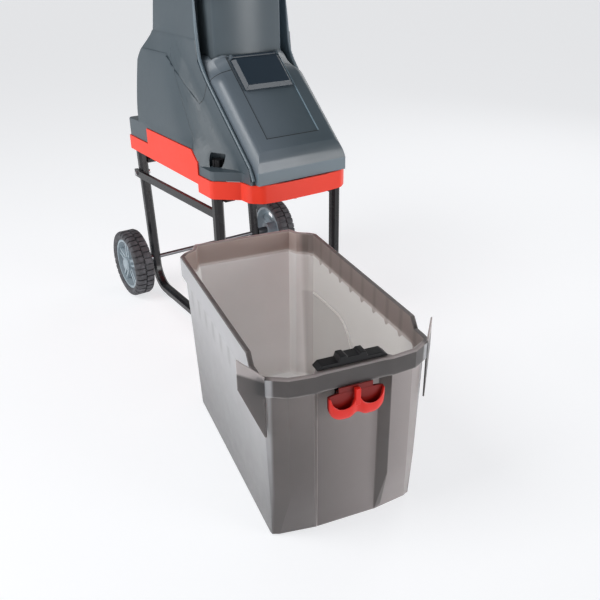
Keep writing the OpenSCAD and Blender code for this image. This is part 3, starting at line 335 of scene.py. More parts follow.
def smoky_outside(name, colour):
    """Sides paled by painted light that darken to the floor, a darker front with painted light and shade
    across it, darkest in band and inner flanks, the flanks by painted shade, with painted rib shadows on the
    sides.
    """
    finish, x, y, z = smoky(name, colour)
    # Painted light and shade across the front: shaded on the left, lit on the right
    front = finish.tones(x.above(0.0, 0.17), colour, 0.22, 1.4)
    # Painted highlight along the left pilaster's inner edge
    line = x.within(-0.0585, -0.0565, 0.0006) * z.within(0.004, 0.306)
    front = finish.mix(line * 0.7, front, shade(colour, 2.6))
    front = finish.mix(z.within(0.3068, 0.37), front, shade(colour, 0.16))
    # Painted shade on the right pilaster's inner flank
    flank = x.within(0.0565, 0.0705) * z.within(0.0, 0.307) * y.below(-0.0145, 0.001)
    front = finish.mix(flank, front, shade(colour, 0.28))
    # The sides' pale tone is a lit copy of the colour: painted light
    pale = [colour[1] * share for share in (2.1, 2.14, 2.24)]
    # Painted shadows of ribs along the sides, under the band
    rib_shadows = (y * BIN_RIBS).math("FRACT").within(0.3, 0.62, 0.12) * z.within(0.262, 0.315, 0.012)
    walls = finish.mix(rib_shadows * 0.6, finish.tones(z.above(0.16, 0.2), pale, 0.2, 1), shade(pale, 0.5))
    tone = finish.mix(abs(x).above(0.1365, 0.003), front, walls)
    return frosted(finish, finish.mix(finish.noise(7.0, 3.0) * 0.3, tone, shade(colour, 1.1)))


def smoky_wing(name, colour):
    """The gusset wings: pale along the top as the rim band is, dark brown below by painted shade."""
    finish, _, _, z = smoky(name, colour)
    return frosted(finish, finish.tones(z.above(0.336, 0.003), colour, 0.16, 1.3))


def smoky_rim(name, colour):
    """The rim's top: dark along the sides, paler in front and behind."""
    finish, x, _, _ = smoky(name, colour)
    return frosted(finish, finish.tones(abs(x).above(0.138, 0.004), colour, 1.15, 0.5))


def smoky_inside_lit(name, colour, outside):
    """The inside, a paler copy of the plastic by painted light, with painted shade on the right wall and in
    the arch below its ridge, and a brown top band, darker on the right by painted shade, whose painted rib
    shadows end in teeth along the sides.
    """
    finish, x, y, z = smoky(name, colour, 0.42)
    # Painted shade on the right inner wall
    right = x.above(0.125, 0.006)
    along = abs(x).above(0.128, 0.004) * y.below(0.47, 0.004)
    # Painted rib shadows, whose lower ends make teeth in the band's edge
    rib = (y * BIN_RIBS).math("FRACT").within(0.4, 0.62, 0.1) * along
    band = (z + rib * 0.007).above(0.311, 0.0015)
    # Painted shade in the arch below and behind the right ridge
    arch_shade = y.above(0.246, 0.004) * z.below(0.224, 0.004) * (y - z).above(0.066, 0.006) * right
    cloud = finish.noise(6.0, 3.0)
    wall = finish.mix(right, finish.tones(cloud, colour, 0.9, 1.1), shade(colour, 0.6))
    wall = finish.mix(arch_shade, wall, shade(colour, 0.46))
    brown = [part * share for part, share in zip(outside, (2.0, 1.85, 1.75))]
    # Painted shade: the band is darker on the right, and darker still in the rib shadows
    tone = finish.mix(rib * 0.5, finish.tones(right, brown, 1, 0.5), shade(brown, 0.3))
    return frosted(finish, finish.mix(band, wall, tone), cloud * 0.15 + 0.34)


def scoop_shaded(name, colour):
    """Grip plastic with painted shade, a deeper red, inside the two finger scoops."""
    finish = Finish(name, colour, 0.32, specular_ior_level=0.35)
    _, y, z = in_bin(finish)
    # Painted shade inside the scoops
    deep = y.above(-0.0455, 0.004) * z.above(0.263, 0.004)
    roughness = finish.noise(60.0, 2.0) * 0.1 + 0.27
    return finish.closed(finish.tones(deep, colour, 1, 0.16), roughness, finish.specks(1400.0), 0.00005)


# Mesh helpers


def local(point):
    """A point of the part in the machine's axes, in millimetres."""
    return (point - MACHINE) / MM


def world(x, y, z):
    """A point in the machine's axes, in millimetres, as a point of the part."""
    return MACHINE + Vector((x, y, z)) * MM


def ends(edge):
    """The two ends of an edge in the machine's axes, in millimetres."""
    return [local(vert.co) for vert in edge.verts]


def mesh_data(name, mesh):
    """A mesh made of a bmesh, which is freed."""
    data = bpy.data.meshes.new(name)
    mesh.to_mesh(data)
    mesh.free()
    return data


def add_object(name, data):
    """A new object in the scene."""
    made = bpy.data.objects.new(name, data)
    bpy.context.scene.collection.objects.link(made)
    return made


def cad_copy(node):
    """A copy of a node's mesh, welded and freed of its inner triangle edges."""
    mesh = bmesh.new()
    mesh.from_mesh(frame["nodes"][node].data)
    bmesh.ops.remove_doubles(mesh, verts=mesh.verts, dist=2e-6)
    bmesh.ops.dissolve_limit(mesh, angle_limit=math.radians(1), verts=mesh.verts, edges=mesh.edges)
    return mesh


def bevel(mesh, edges, width, segments):
    """Rounds edges."""
    bmesh.ops.bevel(mesh, geom=edges, offset=width, offset_type="OFFSET", segments=segments, profile=0.5,
                    affect="EDGES", clamp_overlap=True, material=-1)


def soften(mesh, width, segments=3, angle=28, where=None):
    """Rounds the edges whose faces meet at more than the angle, or those of them that a test picks."""
    limit = math.radians(angle)
    sharp = [edge for edge in mesh.edges if len(edge.link_faces) == 2 and edge.calc_face_angle(0) > limit]
    bevel(mesh, [edge for edge in sharp if where is None or where(edge)], width, segments)


def upright_edge(edge):
    """True for an outward blunt upright edge in the machine's front half."""
    if not edge.is_convex or edge.calc_face_angle(0) > math.radians(60):
        return False
    first, second = ends(edge)
    rise = abs(first.z - second.z)
    slant = (first - second).xy.length
    return rise > 12 and slant < rise * 0.3 and max(first.y, second.y) < -330


def finish_piece(name, mesh, finishes, body, replaced=(), smooth=32):
    """Makes the object, gives it one finish or several, shades it, and ties it to its body."""
    data = mesh_data(name, mesh)
    data.shade_smooth()
    data.set_sharp_from_angle(angle=math.radians(smooth))
    piece = add_object(name, data)
    for finish in [finishes] if isinstance(finishes, str) else finishes:
        data.materials.append(finish_of(finish))
    weighted = piece.modifiers.new("Even shading", "WEIGHTED_NORMAL")
    weighted.keep_sharp = True
    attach(piece, body)
    if replaced:
        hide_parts(*replaced)


def rounded_node(node, finish, body, width, segments=3):
    """A node's own shape with its edges rounded."""
    mesh = cad_copy(node)
    soften(mesh, width, segments)
    finish_piece(node + "_form", mesh, finish, body, (node,))


def bridge(mesh, edges):
    """Makes the faces between two loops of edges and gives them back."""
    made = bmesh.ops.bridge_loops(mesh, edges=edges, use_pairs=False, use_cyclic=False, use_merge=False)
    return made["faces"]


def lofted(mesh, rings, finishes=None):
    """A closed body through outlines of equal point counts, with a finish for each stretch between two."""
    finishes = finishes or [0] * len(rings)
    loops = []
    for ring in rings:
        verts = [mesh.verts.new(point) for point in ring]
        loops.append([mesh.edges.new(pair) for pair in zip(verts, verts[1:] + verts[:1])])
    for low, high, finish in zip(loops, loops[1:], finishes):
        for face in bridge(mesh, low + high):
            face.material_index = finish
    for end in (0, -1):
        bmesh.ops.contextual_create(mesh, geom=loops[end], mat_nr=finishes[end])


def path_points(path):
    """Each point of a path in a plane, with the path's direction there."""
    for index, here in enumerate(path):
        before, after = path[max(index - 1, 0)], path[min(index + 1, len(path) - 1)]
        yield here, (Vector(after) - Vector(before)).normalized()


def inset(points, distance):
    """A closed outline, counter-clockwise, moved inwards corner by corner."""
    moved = []
    for index, here in enumerate(points):
        before = (here - points[index - 1]).normalized()
        after = (points[(index + 1) % len(points)] - here).normalized()
        side = Vector((-before.y, before.x))
        middle = (side + Vector((-after.y, after.x))).normalized()
        moved.append(here + middle * (distance / max(middle.dot(side), 0.4)))
    return moved


def smooth_step(value, low, high):
    """From 0 to 1 between two values, with soft ends."""
    share = min(max((value - low) / (high - low), 0.0), 1.0)
    return share * share * (3 - 2 * share)


def add_box(mesh, low, high):
    """A box between two corners in millimetres; gives back its vertices."""
    low, high = Vector(low) * MM, Vector(high) * MM
    place = Matrix.Translation((low + high) / 2) @ Matrix.Diagonal((*(high - low), 1))
    return bmesh.ops.create_cube(mesh, size=1.0, matrix=place)["verts"]


def faces_out(mesh):
    """Welds the mesh and turns its faces outwards."""
    bmesh.ops.remove_doubles(mesh, verts=mesh.verts, dist=1e-6)
    bmesh.ops.recalc_face_normals(mesh, faces=mesh.faces)


# Colours and sizes that a user would change


LENGTH = {"subtype": "DISTANCE", "unit": "LENGTH", "min": 0}
ANGLE = {"subtype": "ANGLE"}
COLOUR = {"subtype": "COLOR", "size": 3, "min": 0, "max": 1}
PLACE = {"subtype": "TRANSLATION", "unit": "LENGTH", "size": 3}


def setting(label, text, default, kind=None):
    """A number, length, angle, colour or place, in metres and radians."""
    maker = bpy.props.FloatVectorProperty if kind in (COLOUR, PLACE) else bpy.props.FloatProperty
    return maker(name=label, description=text, default=default, **(kind or {}))


def colour_setting(label, text, default):
    """A colour."""
    return setting(label, text, default, COLOUR)


class ShredderColours(bpy.types.PropertyGroup):
    """Colours of the shredder's finishes."""

    housing: colour_setting("Housing", "Slate plastic of housing, hood and hopper", (0.056, 0.077, 0.092))
    cover: colour_setting("Cover", "Plastic of the switch cover", (0.022, 0.034, 0.048))
    tray: colour_setting("Tray", "Red plastic of the base tray", (0.84, 0.045, 0.02))
    tubes: colour_setting("Tubes", "Coat on the tube frame", (0.012, 0.012, 0.014))
    tyres: colour_setting("Tyres", "Rubber of the tyres", (0.05, 0.05, 0.056))
    wheels: colour_setting("Wheels", "Plastic of the spoked wheels", (0.3, 0.36, 0.4))
    bin_outside: colour_setting("Bin outside", "Smoky plastic of the bin, outside", (0.203, 0.18, 0.178))
    # The inside's colour is a paler, lit copy of the same smoky plastic: painted light
    bin_inside_lit: colour_setting("Bin inside", "Smoky plastic of the bin, inside", (0.64, 0.612, 0.59))
    grip: colour_setting("Grip", "Red plastic of the latch grip", (0.7, 0.02, 0.012))
    black: colour_setting("Black parts", "Black plastic of small parts", (0.009, 0.009, 0.01))


class ShredderSizes(bpy.types.PropertyGroup):
    """Sizes of the visible forms."""

    edge: setting("Edge rounding", "Radius on the edges of housing and tower", 0.003, LENGTH)
    corner: setting("Corner rounding", "Radius on the upright corners of tray and skirt", 0.008, LENGTH)
    tread_depth: setting("Tread depth", "Height of the tyre's blocks", 0.0045, LENGTH)
    tread_blocks: bpy.props.IntProperty(name="Tread blocks", description="Round each tyre", default=34)
    bin_wall: setting("Bin wall", "Thickness of the bin's wall", 0.003, LENGTH)


class StageSettings(bpy.types.PropertyGroup):
    """The studio round the shredder."""

    floor: colour_setting("Floor", "Pale floor", (0.36, 0.364, 0.372))
    floor_glow: setting("Floor glow", "Light that the pale floor gives off", 0.7)
    air: setting("Air", "Strength of the light from all round", 0.55)
    camera_place: setting("Camera", "Place from the machine's origin", (-0.918, -1.917, 0.95), PLACE)
    camera_turn: setting("Heading", "Camera's heading, clockwise from +Y", math.radians(33.2), ANGLE)
    camera_down: setting("Tilt", "Camera's tilt below level", math.radians(26.6), ANGLE)
    camera_roll: setting("Roll", "Camera's roll, right side down", math.radians(0.9), ANGLE)
    lens: setting("Lens", "Focal length in millimetres", 43.2)


def sizes():
    """The scene's size settings."""
    return bpy.context.scene.shredder_sizes


MATERIALS = {}


def finish_of(name):
    """A finish by its name, made once."""
    if name not in MATERIALS:
        c = bpy.context.scene.shredder_colours
        makers = {
            "housing": lambda: moulded("slate_plastic", c.housing, 0.38, 0.7, depth=FINE_DEPTH),
            "seamed": lambda: seamed_plastic("seamed_plastic", c.housing, 0.41, 0.6),
            # The bead's paler copy of the housing colour is a painted highlight along the flange's edge
            "bead": lambda: moulded("bead_highlight_plastic", shade(c.housing, 1.8), 0.4, 0.7),
            "hood": lambda: hood_plastic("hood_plastic", c.housing, 0.38, 0.7),
            "cover": lambda: moulded("cover_plastic", c.cover, 0.3, 0.32, depth=FINE_DEPTH),
            "tray": lambda: moulded("red_plastic", c.tray, 0.4, 0.3, 0.06),
            "tubes": lambda: coated("black_coat", c.tubes, 0.26, 0.3),
            "tyres": lambda: rubber("tyre_rubber", c.tyres, 0.62),
            "wheels": lambda: moulded("wheel_plastic", c.wheels, 0.45, vary=0.06),
            "black": lambda: moulded("black_plastic", c.black, 0.4, 0.25),
            "grip": lambda: scoop_shaded("grip_plastic", c.grip),
            "steel": lambda: steel("plain_steel", (0.5, 0.51, 0.53), 0.4),
            "dark_steel": lambda: steel("dark_steel", (0.16, 0.165, 0.175), 0.4),
            "alloy": lambda: steel("cast_alloy", (0.6, 0.61, 0.62), 0.55),
            "core": lambda: steel("stator_core", (0.2, 0.15, 0.11), 0.5, (1.0, 1.0, 90.0)),
            "green": lambda: moulded("green_plastic", (0.03, 0.3, 0.08), 0.35),
            "red": lambda: moulded("button_plastic", (0.55, 0.02, 0.015), 0.35),
            "white": lambda: moulded("white_plastic", (0.75, 0.75, 0.72), 0.4),
            "feet": lambda: rubber("foot_rubber", (0.02, 0.02, 0.02), 0.7),
            "bin_outside": lambda: smoky_outside("smoky_outside", c.bin_outside),
            "bin_inside_lit": lambda: smoky_inside_lit("smoky_inside_lit", c.bin_inside_lit, c.bin_outside),
            "bin_rim": lambda: smoky_rim("smoky_rim", c.bin_outside),
            # The ridges' paler copy of the inside colour is a painted highlight
            "bin_ridge": lambda: moulded("smoky_ridge_highlight", shade(c.bin_inside_lit, 1.3), 0.4),
            "bin_wing": lambda: smoky_wing("smoky_wing", c.bin_outside),
        }
        MATERIALS[name] = makers[name]()
    return MATERIALS[name]


# Operators


class SHREDDER_OT_stage(bpy.types.Operator):
    """Floor, soft studio light and the camera at the photograph's angle"""

    bl_idname = "shredder.stage"
    bl_label = "Stage"

    # Name, place, point it is aimed at, size and power of each soft box
    boxes = (("left_box", (-2.6, 0.3, 1.0), (0, 0.1, 0.55), 1.6, 24),
             ("high_box", (-1.9, 0.25, 2.65), (0.0, 0.12, 0.59), 1.6, 46),
             ("front_box", (1.9, -3.7, 0.9), (0.1, 0.2, 0.5), 2.0, 80),
             ("right_box", (2.4, 0.9, 1.7), (0.2, 0.2, 0.6), 1.2, 13))
    light_tint = (0.97, 0.98, 1.0, 1.0)
    # The camera's sensor in millimetres, and how far its picture is shifted, as a share of the width
    sensor = 36
    shift = 0.0042

    def execute(self, context):
        settings = context.scene.shredder_stage
        mesh = bmesh.new()
        bmesh.ops.create_grid(mesh, x_segments=8, y_segments=8, size=40.0)
        floor = add_object("studio_floor", mesh_data("studio_floor", mesh))
        finish = Finish("floor_paint", settings.floor, 0.6, emission_color=self.light_tint,
                        emission_strength=settings.floor_glow)
        finish.feed("Base Color", finish.tones(finish.noise(0.8), settings.floor, 0.98, 1.02))
        floor.data.materials.append(finish.material)
        for box in self.boxes:
            self.light(*box)
        self.air(context, settings.air)
        context.scene.view_settings.view_transform = "Standard"
        self.camera(context, settings)
        return {"FINISHED"}

    def air(self, context, strength):
        """Light from all round, bright near the horizon and dim overhead."""
        world_air = bpy.data.worlds.new("studio_air")
        context.scene.world = world_air
        world_air.use_nodes = True
        nodes, links = world_air.node_tree.nodes, world_air.node_tree.links
        place = nodes.new("ShaderNodeTexCoord")
        parts = nodes.new("ShaderNodeSeparateXYZ")
        fade = nodes.new("ShaderNodeMapRange")
        fade.interpolation_type = "SMOOTHSTEP"
        links.new(place.outputs["Generated"], parts.inputs[0])
        links.new(parts.outputs["Z"], fade.inputs["Value"])
        levels = {"From Min": 0.05, "From Max": 0.75, "To Min": strength, "To Max": strength * 0.12}
        for key, value in levels.items():
            fade.inputs[key].default_value = value
        sky = nodes["Background"]
        sky.inputs["Color"].default_value = self.light_tint
        links.new(fade.outputs[0], sky.inputs["Strength"])

    def light(self, name, place, aim, size, power):
        """One soft box, aimed at a point."""
        data = bpy.data.lights.new(name, "AREA")
        data.size = size
        data.energy = power
        lamp = add_object(name, data)
        lamp.location = place
        lamp.rotation_euler = (Vector(aim) - Vector(place)).to_track_quat("-Z", "Y").to_euler()

    def camera(self, context, settings):
        """The photograph's camera."""
        data = bpy.data.cameras.new("photo_camera")
        data.sensor_width = self.sensor
        data.lens = settings.lens
        data.shift_x = self.shift
        data.clip_end = 200
        camera = add_object("photo_camera", data)
        camera.location = MACHINE + Vector(settings.camera_place)
        turn = Matrix.Rotation(-settings.camera_turn, 4, "Z")
        tilt = Matrix.Rotation(math.radians(90) - settings.camera_down, 4, "X")
        roll = Matrix.Rotation(-settings.camera_roll, 4, "Z")
        camera.rotation_euler = (turn @ tilt @ roll).to_euler()
        context.scene.camera = camera


class SHREDDER_OT_tube_frame(bpy.types.Operator):
    """Coat and steel on the tube frame, the axle, bolts and small fittings"""

    bl_idname = "shredder.tube_frame"
    bl_label = "Tube frame"

    # The solids that stay visible as they are, by finish
    dressed = {
        "tubes": ("left_side_frame", "right_side_frame", "left_rear_leg", "right_rear_leg",
                  "left_side_rail", "right_side_rail", "rear_cross_bar"),
        "dark_steel": ("axle", "wheel_spacers"),
        "feet": ("foot_pads",),
        "steel": ("frame_bolts", "hinge_pins", "cover_pin", "plate_screws", "motor_screws", "knife_bolts",
                  "disc_nut", "counter_blade_bolts", "motor_plate", "knife_disc", "knives", "counter_blade",
                  "rotor_shaft", "lower_bearing", "upper_bearing"),
        "alloy": ("lower_end_bell", "upper_end_bell", "capacitor"),
        "core": ("stator",),
        "black": ("interlock_switch", "power_inlet", "switch_box", "cooling_fan"),
        "white": ("interlock_plunger",),
        "green": ("start_button",),
        "red": ("stop_button", "reset_button"),
        "housing": ("feed_chute",),
    }

    def execute(self, context):
        for finish, nodes in self.dressed.items():
            for node in nodes:
                data = frame["nodes"][node].data
                data.materials.clear()
                data.materials.append(finish_of(finish))
        rounded_node("bin_guides", "black", "chassis", 0.002)
        for side, _ in SIDES:
            rounded_node(side + "_lock_knob", "black", side + "_lock", 0.001, 2)
        return {"FINISHED"}


class SHREDDER_OT_tyres(bpy.types.Operator):
    """Tyres with two rows of tread blocks"""

    bl_idname = "shredder.tyres"
    bl_label = "Tyres"

    # Metres: height of the tyre above its seat on the rim, and half the gap between the two rows of blocks
    height = 0.0229
    half_gap = 0.002
    # Steps of the spin to a block and the gap after it
    block_steps = 4

    def execute(self, context):
        for side, _ in SIDES:
            self.tyre(side)
        return {"FINISHED"}

    def tyre(self, side):
        """Spins the cross section, then raises the tread blocks from its faces."""
        low, high = (Vector(corner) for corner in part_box(side + "_tyre"))
        outer = (high.z - low.z) / 2
        half = (high.x - low.x) / 2
        depth = sizes().tread_depth
        base = outer - depth
        seat = outer - self.height
        right = [(self.half_gap, base), (half - 0.008, base), (half - 0.0025, base - 0.003),
                 (half, base - 0.0085), (half - 0.0005, seat + 0.006), (half - 0.004, seat)]
        section = [(-x, radius) for x, radius in reversed(right)] + right
        steps = sizes().tread_blocks * self.block_steps
        mesh = bmesh.new()
        verts = [mesh.verts.new((x, 0, radius)) for x, radius in section]
        edges = [mesh.edges.new(pair) for pair in zip(verts, verts[1:] + verts[:1])]
        bmesh.ops.spin(mesh, geom=verts + edges, cent=(0, 0, 0), axis=(1, 0, 0), angle=2 * math.pi,
                       steps=steps, use_merge=True, use_duplicate=False)
        faces_out(mesh)
        raised = [face for face in mesh.faces if self.in_block(face, base, steps)]
        made = bmesh.ops.extrude_face_region(mesh, geom=raised)
        top = [part for part in made["geom"] if isinstance(part, bmesh.types.BMVert)]
        bmesh.ops.delete(mesh, geom=raised, context="FACES_ONLY")
        for vert in top:
            out = Vector((0, vert.co.y, vert.co.z))
            vert.co += out.normalized() * min(depth, outer - out.length)
        bmesh.ops.recalc_face_normals(mesh, faces=mesh.faces)
        bmesh.ops.translate(mesh, verts=mesh.verts, vec=(low + high) / 2)
        finish_piece(side + "_tyre_form", mesh, "tyres", side + "_wheel_set",
                     (side + "_tyre",), 40)

    def in_block(self, face, base, steps):
        """True where a tread block stands on the face: two rows that are half a block apart."""
        spot = face.calc_center_median()
        if math.hypot(spot.y, spot.z) < base - 0.006 or abs(spot.x) < self.half_gap:
            return False
        step = round((math.atan2(spot.z, spot.y) / (2 * math.pi)) * steps - 0.5)
        return (step + (self.block_steps // 2 if spot.x > 0 else 0)) % self.block_steps != 0


class SHREDDER_OT_wheels(bpy.types.Operator):
    """Spoked wheels and their hub caps"""

    bl_idname = "shredder.wheels"
    bl_label = "Wheels"

    def execute(self, context):
        for side, _ in SIDES:
            for node, width in (("_wheel", 0.0015), ("_hub_cap", 0.001)):
                rounded_node(side + node, "wheels", side + "_wheel_set", width, 2)
        return {"FINISHED"}


class SHREDDER_OT_tray(bpy.types.Operator):
    """Red base tray with rounded edges"""

    bl_idname = "shredder.tray"
    bl_label = "Tray"

    def execute(self, context):
        mesh = cad_copy("base_tray")
        soften(mesh, sizes().corner, 5, 14, upright_edge)
        soften(mesh, 0.0015)
        finish_piece("base_tray_form", mesh, "tray", "chassis", ("base_tray",))
        return {"FINISHED"}


class SHREDDER_OT_housing(bpy.types.Operator):
    """Slate housing: lower part, tower, nose hood, flange beads, hopper and switch cover"""

    bl_idname = "shredder.housing"
    bl_label = "Housing"

    # Millimetres in the machine's axes
    hood_half = 122.5
    panel_half = 100
    panel_bow = 13
    groove_back = -247.7
    front_wall = -290
    nose_front = -540
    ledge_top = 512
    # Where the sides begin, where their skin does, and how deep it is
    side_from = 100
    skin_from = 110
    skin_depth = 10
    # How far the hood's shoulders sink, between which places up the slope, and where they are cut to bend
    sink = 27
    sink_range = (222, 284)
    sink_cuts = range(215, 300, 8)
    # The grid of the sides' depths, and where the sides are cut for it
    cell = 6
    grid_low = (-500, 455)
    grid_count = (84, 64)
    cut_depths = range(-480, -40, 10)
    cut_heights = range(505, 835, 10)
    # Depth and height along a flange's free edge, and the bead's section: share of its width, and rise
    bead_path = ((-536, 458), (-530, 470), (-519, 486.6), (-430, 566.7), (-345, 643.3), (-332, 656),
                 (-318, 672), (-308, 686), (-300, 700), (-295, 722), (-292.7, 745), (-289, 785), (-284, 838),
                 (-283, 849))
    bead_section = ((0, -2), (0, 1.2), (0.16, 2.8), (0.4, 3.7), (0.65, 3.4), (0.88, 2), (1, 0.2), (1, -2))
    bead_outside = 131.6

    def execute(self, context):
        body, slot = "upper_unit", "housing_grey"
        shells = {node: cad_copy(node) for node in ("lower_housing", "tower_shell")}
        self.round_front(shells["tower_shell"])
        soften(shells["lower_housing"], 0.007, 4, 50, self.ledge_edge)
        soften(shells["lower_housing"], sizes().corner, 5, 14, upright_edge)
        for mesh in shells.values():
            soften(mesh, sizes().edge)
        self.even_sides(list(shells.values()))
        for node, mesh in shells.items():
            finish_piece(node + "_form", mesh, "seamed", body, (node,))
        self.hood(body, slot)
        self.beads(body, slot)
        rounded_node("hopper_funnel", "housing", body, 0.002)
        rounded_node("switch_cover", "cover", "cover", 0.002)
        return {"FINISHED"}

    def round_front(self, mesh):
        """Curves the tower's front panel more and rounds its upright edges."""
        for vert in mesh.verts:
            x, y, _ = local(vert.co)
            if abs(x) < self.panel_half + 0.5 and y < self.groove_back - 6:
                vert.co.y += self.panel_bow * MM * (x / self.panel_half) ** 2
        soften(mesh, 0.011, 5, 50, self.panel_edge)

    def ledge_edge(self, edge):
        """True for the upper outer edge of the low ledge behind the housing."""
        return all(abs(spot.z - self.ledge_top) < 0.5 and spot.y > 12 for spot in ends(edge))

    def panel_edge(self, edge):
        """True for the two upright edges of the front panel's outside."""
        return self.upright_at(edge, self.panel_half, self.front_wall, 100)

    def side_share(self, y, z):
        """How far a point of the housing's side is evened out: 0 at its borders, 1 in its middle."""
        off_front = max(-turned(y - SLOPE_Y, z - SLOPE_Z, SLOPE_ALONG)[1], y - self.front_wall)
        share = smooth_step(off_front, 36, 72) * smooth_step(z, 500, 530)
        return share * (1 - smooth_step(z, 770, 830)) * (1 - smooth_step(y, -115, -45))

    def even_sides(self, meshes):
        """Takes the creases out of the housing's two sides: each side's blurred depth is its new depth."""
        trees = [BVHTree.FromBMesh(mesh) for mesh in meshes]
        for _, side in SIDES:
            depth = self.side_depth(trees, side)
            for mesh in meshes:
                self.cut_grid(mesh, side)
                for vert in mesh.verts:
                    x, y, z = local(vert.co)
                    share = self.side_share(y, z) if x * side > self.side_from else 0
                    if share:
                        skin = self.reach(trees, side, y, z)
                        if skin and skin - x * side < self.skin_depth:
                            vert.co.x += side * share * (self.look_up(depth, y, z) - skin) * MM
        for mesh in meshes:
            inner = [vert for vert in mesh.verts if self.inside_side(vert)]
            for _ in range(4):
                bmesh.ops.smooth_vert(mesh, verts=inner, factor=0.5, use_axis_x=True, use_axis_y=False,
                                      use_axis_z=False)

    def inside_side(self, vert):
        """True for a vertex in the middle of a side's skin, away from seams and borders."""
        x, y, z = local(vert.co)
        if abs(x) < self.skin_from or not self.side_share(y, z):
            return False
        return all(edge.is_manifold and edge.calc_face_angle(0) < 0.95 for edge in vert.link_edges)

    def reach(self, trees, side, y, z):
        """How far out the housing's side lies at a depth and height, or None beside it."""
        start = world(side * 400, y, z)
        hits = [tree.ray_cast(start, Vector((-side, 0, 0)), 0.3)[0] for tree in trees]
        return max((side * (hit.x - MACHINE.x) / MM for hit in hits if hit), default=None)

    def side_depth(self, trees, side):
        """A grid of the side's depths, blurred."""
        columns, rows = self.grid_count
        grid = [[self.reach(trees, side, self.grid_low[0] + self.cell * i, self.grid_low[1] + self.cell * j)
                 for j in range(rows)] for i in range(columns)]
        for _ in range(60):
            grid = [[self.mean_round(grid, i, j) for j in range(rows)] for i in range(columns)]
        return grid

    @staticmethod
    def mean_round(grid, i, j):
        """The mean of a cell and its four neighbours that are on the side."""
        if grid[i][j] is None:
            return None
        near = [(i, j), (i - 1, j), (i + 1, j), (i, j - 1), (i, j + 1)]
        found = [grid[a][b] for a, b in near if 0 <= a < len(grid) and 0 <= b < len(grid[0])
                 and grid[a][b] is not None]
        return sum(found) / len(found)

    def look_up(self, grid, y, z):
        """The grid's depth at a point, between its four nearest cells."""
        across, up = (y - self.grid_low[0]) / self.cell, (z - self.grid_low[1]) / self.cell
        i, j = int(across), int(up)
        total = weights = 0
        for a, near in ((0, 1 - across + i), (1, across - i)):
            for b, level in ((0, 1 - up + j), (1, up - j)):
                value = grid[i + a][j + b]
                if value is not None:
                    weight = near * level + 1e-6
                    total += value * weight
                    weights += weight
        return total / weights

    def cut_grid(self, mesh, side):
        """Cuts the faces of one side into small ones."""
        cuts = [(world(0, y, 0), Vector((0, 1, 0))) for y in self.cut_depths]
        cuts += [(world(0, 0, z), Vector((0, 0, 1))) for z in self.cut_heights]
        for place, normal in cuts:
            faces = [face for face in mesh.faces if self.on_side(face, side)]
            parts = {part for face in faces for part in (*face.edges, *face.verts)}
            bmesh.ops.bisect_plane(mesh, geom=faces + list(parts), dist=1e-6, plane_co=place,
                                   plane_no=normal)

    def on_side(self, face, side):
        """True for the faces that make up one side's skin."""
        spot = local(face.calc_center_median())
        return spot.x * side > self.skin_from and abs(face.normal.x) > 0.2 and spot.z > 480

    def hood(self, body, slot):
        """The nose hood: its shoulders sink to the flange at the top end, and its nose is rounded."""
        mesh = cad_copy("nose_hood")
        soften(mesh, 0.006, 4, 50, self.nose_edge)
        soften(mesh, 0.001, 2)
        normal = Vector((0, *SLOPE_ALONG))
        for along in self.sink_cuts:
            bmesh.ops.bisect_plane(mesh, geom=[*mesh.verts, *mesh.edges, *mesh.faces], dist=1e-6,
                                   plane_co=SLOPE_FOOT + normal * along * MM, plane_no=normal)
        off_slope = Vector((0, -SLOPE_ALONG[1], SLOPE_ALONG[0]))
        for vert in mesh.verts:
            x, y, z = local(vert.co)
            along = turned(y - SLOPE_Y, z - SLOPE_Z, SLOPE_ALONG)[0]
            drop = smooth_step(abs(x), 76, 118) * smooth_step(along, *self.sink_range)
            vert.co -= off_slope * (drop * self.sink * MM)
        finish_piece("nose_hood_form", mesh, "hood", body, ("nose_hood",))

    def nose_edge(self, edge):
        """True for the upright edges at the nose's front corners."""
        return self.upright_at(edge, self.hood_half, self.nose_front, 10)

    @staticmethod
    def upright_at(edge, half, depth, rise):
        """True for an edge so far to a side, in front of a depth, that rises more than so much."""
        first, second = spots = ends(edge)
        beside = all(abs(abs(spot.x) - half) < 0.5 and spot.y < depth for spot in spots)
        return beside and abs(first.z - second.z) > rise

    def beads(self, body, slot):
        """A rounded bead along the free edge of each flange, up the slope and on up the tower."""
        inside = self.hood_half + 0.8
        for name, side in SIDES:
            rings = []
            for here, along in path_points(self.bead_path):
                out = Vector((-along.y, along.x))
                width = (self.bead_outside - inside) * (1 - 0.6 * smooth_step(here[1], 745, 850))
                rings.append([world(side * (inside + across * width), *(Vector(here) + out * rise))
                              for across, rise in self.bead_section])
            mesh = bmesh.new()
            lofted(mesh, rings)
            faces_out(mesh)
            finish_piece(name + "_flange_bead", mesh, "bead", body, (), 60)


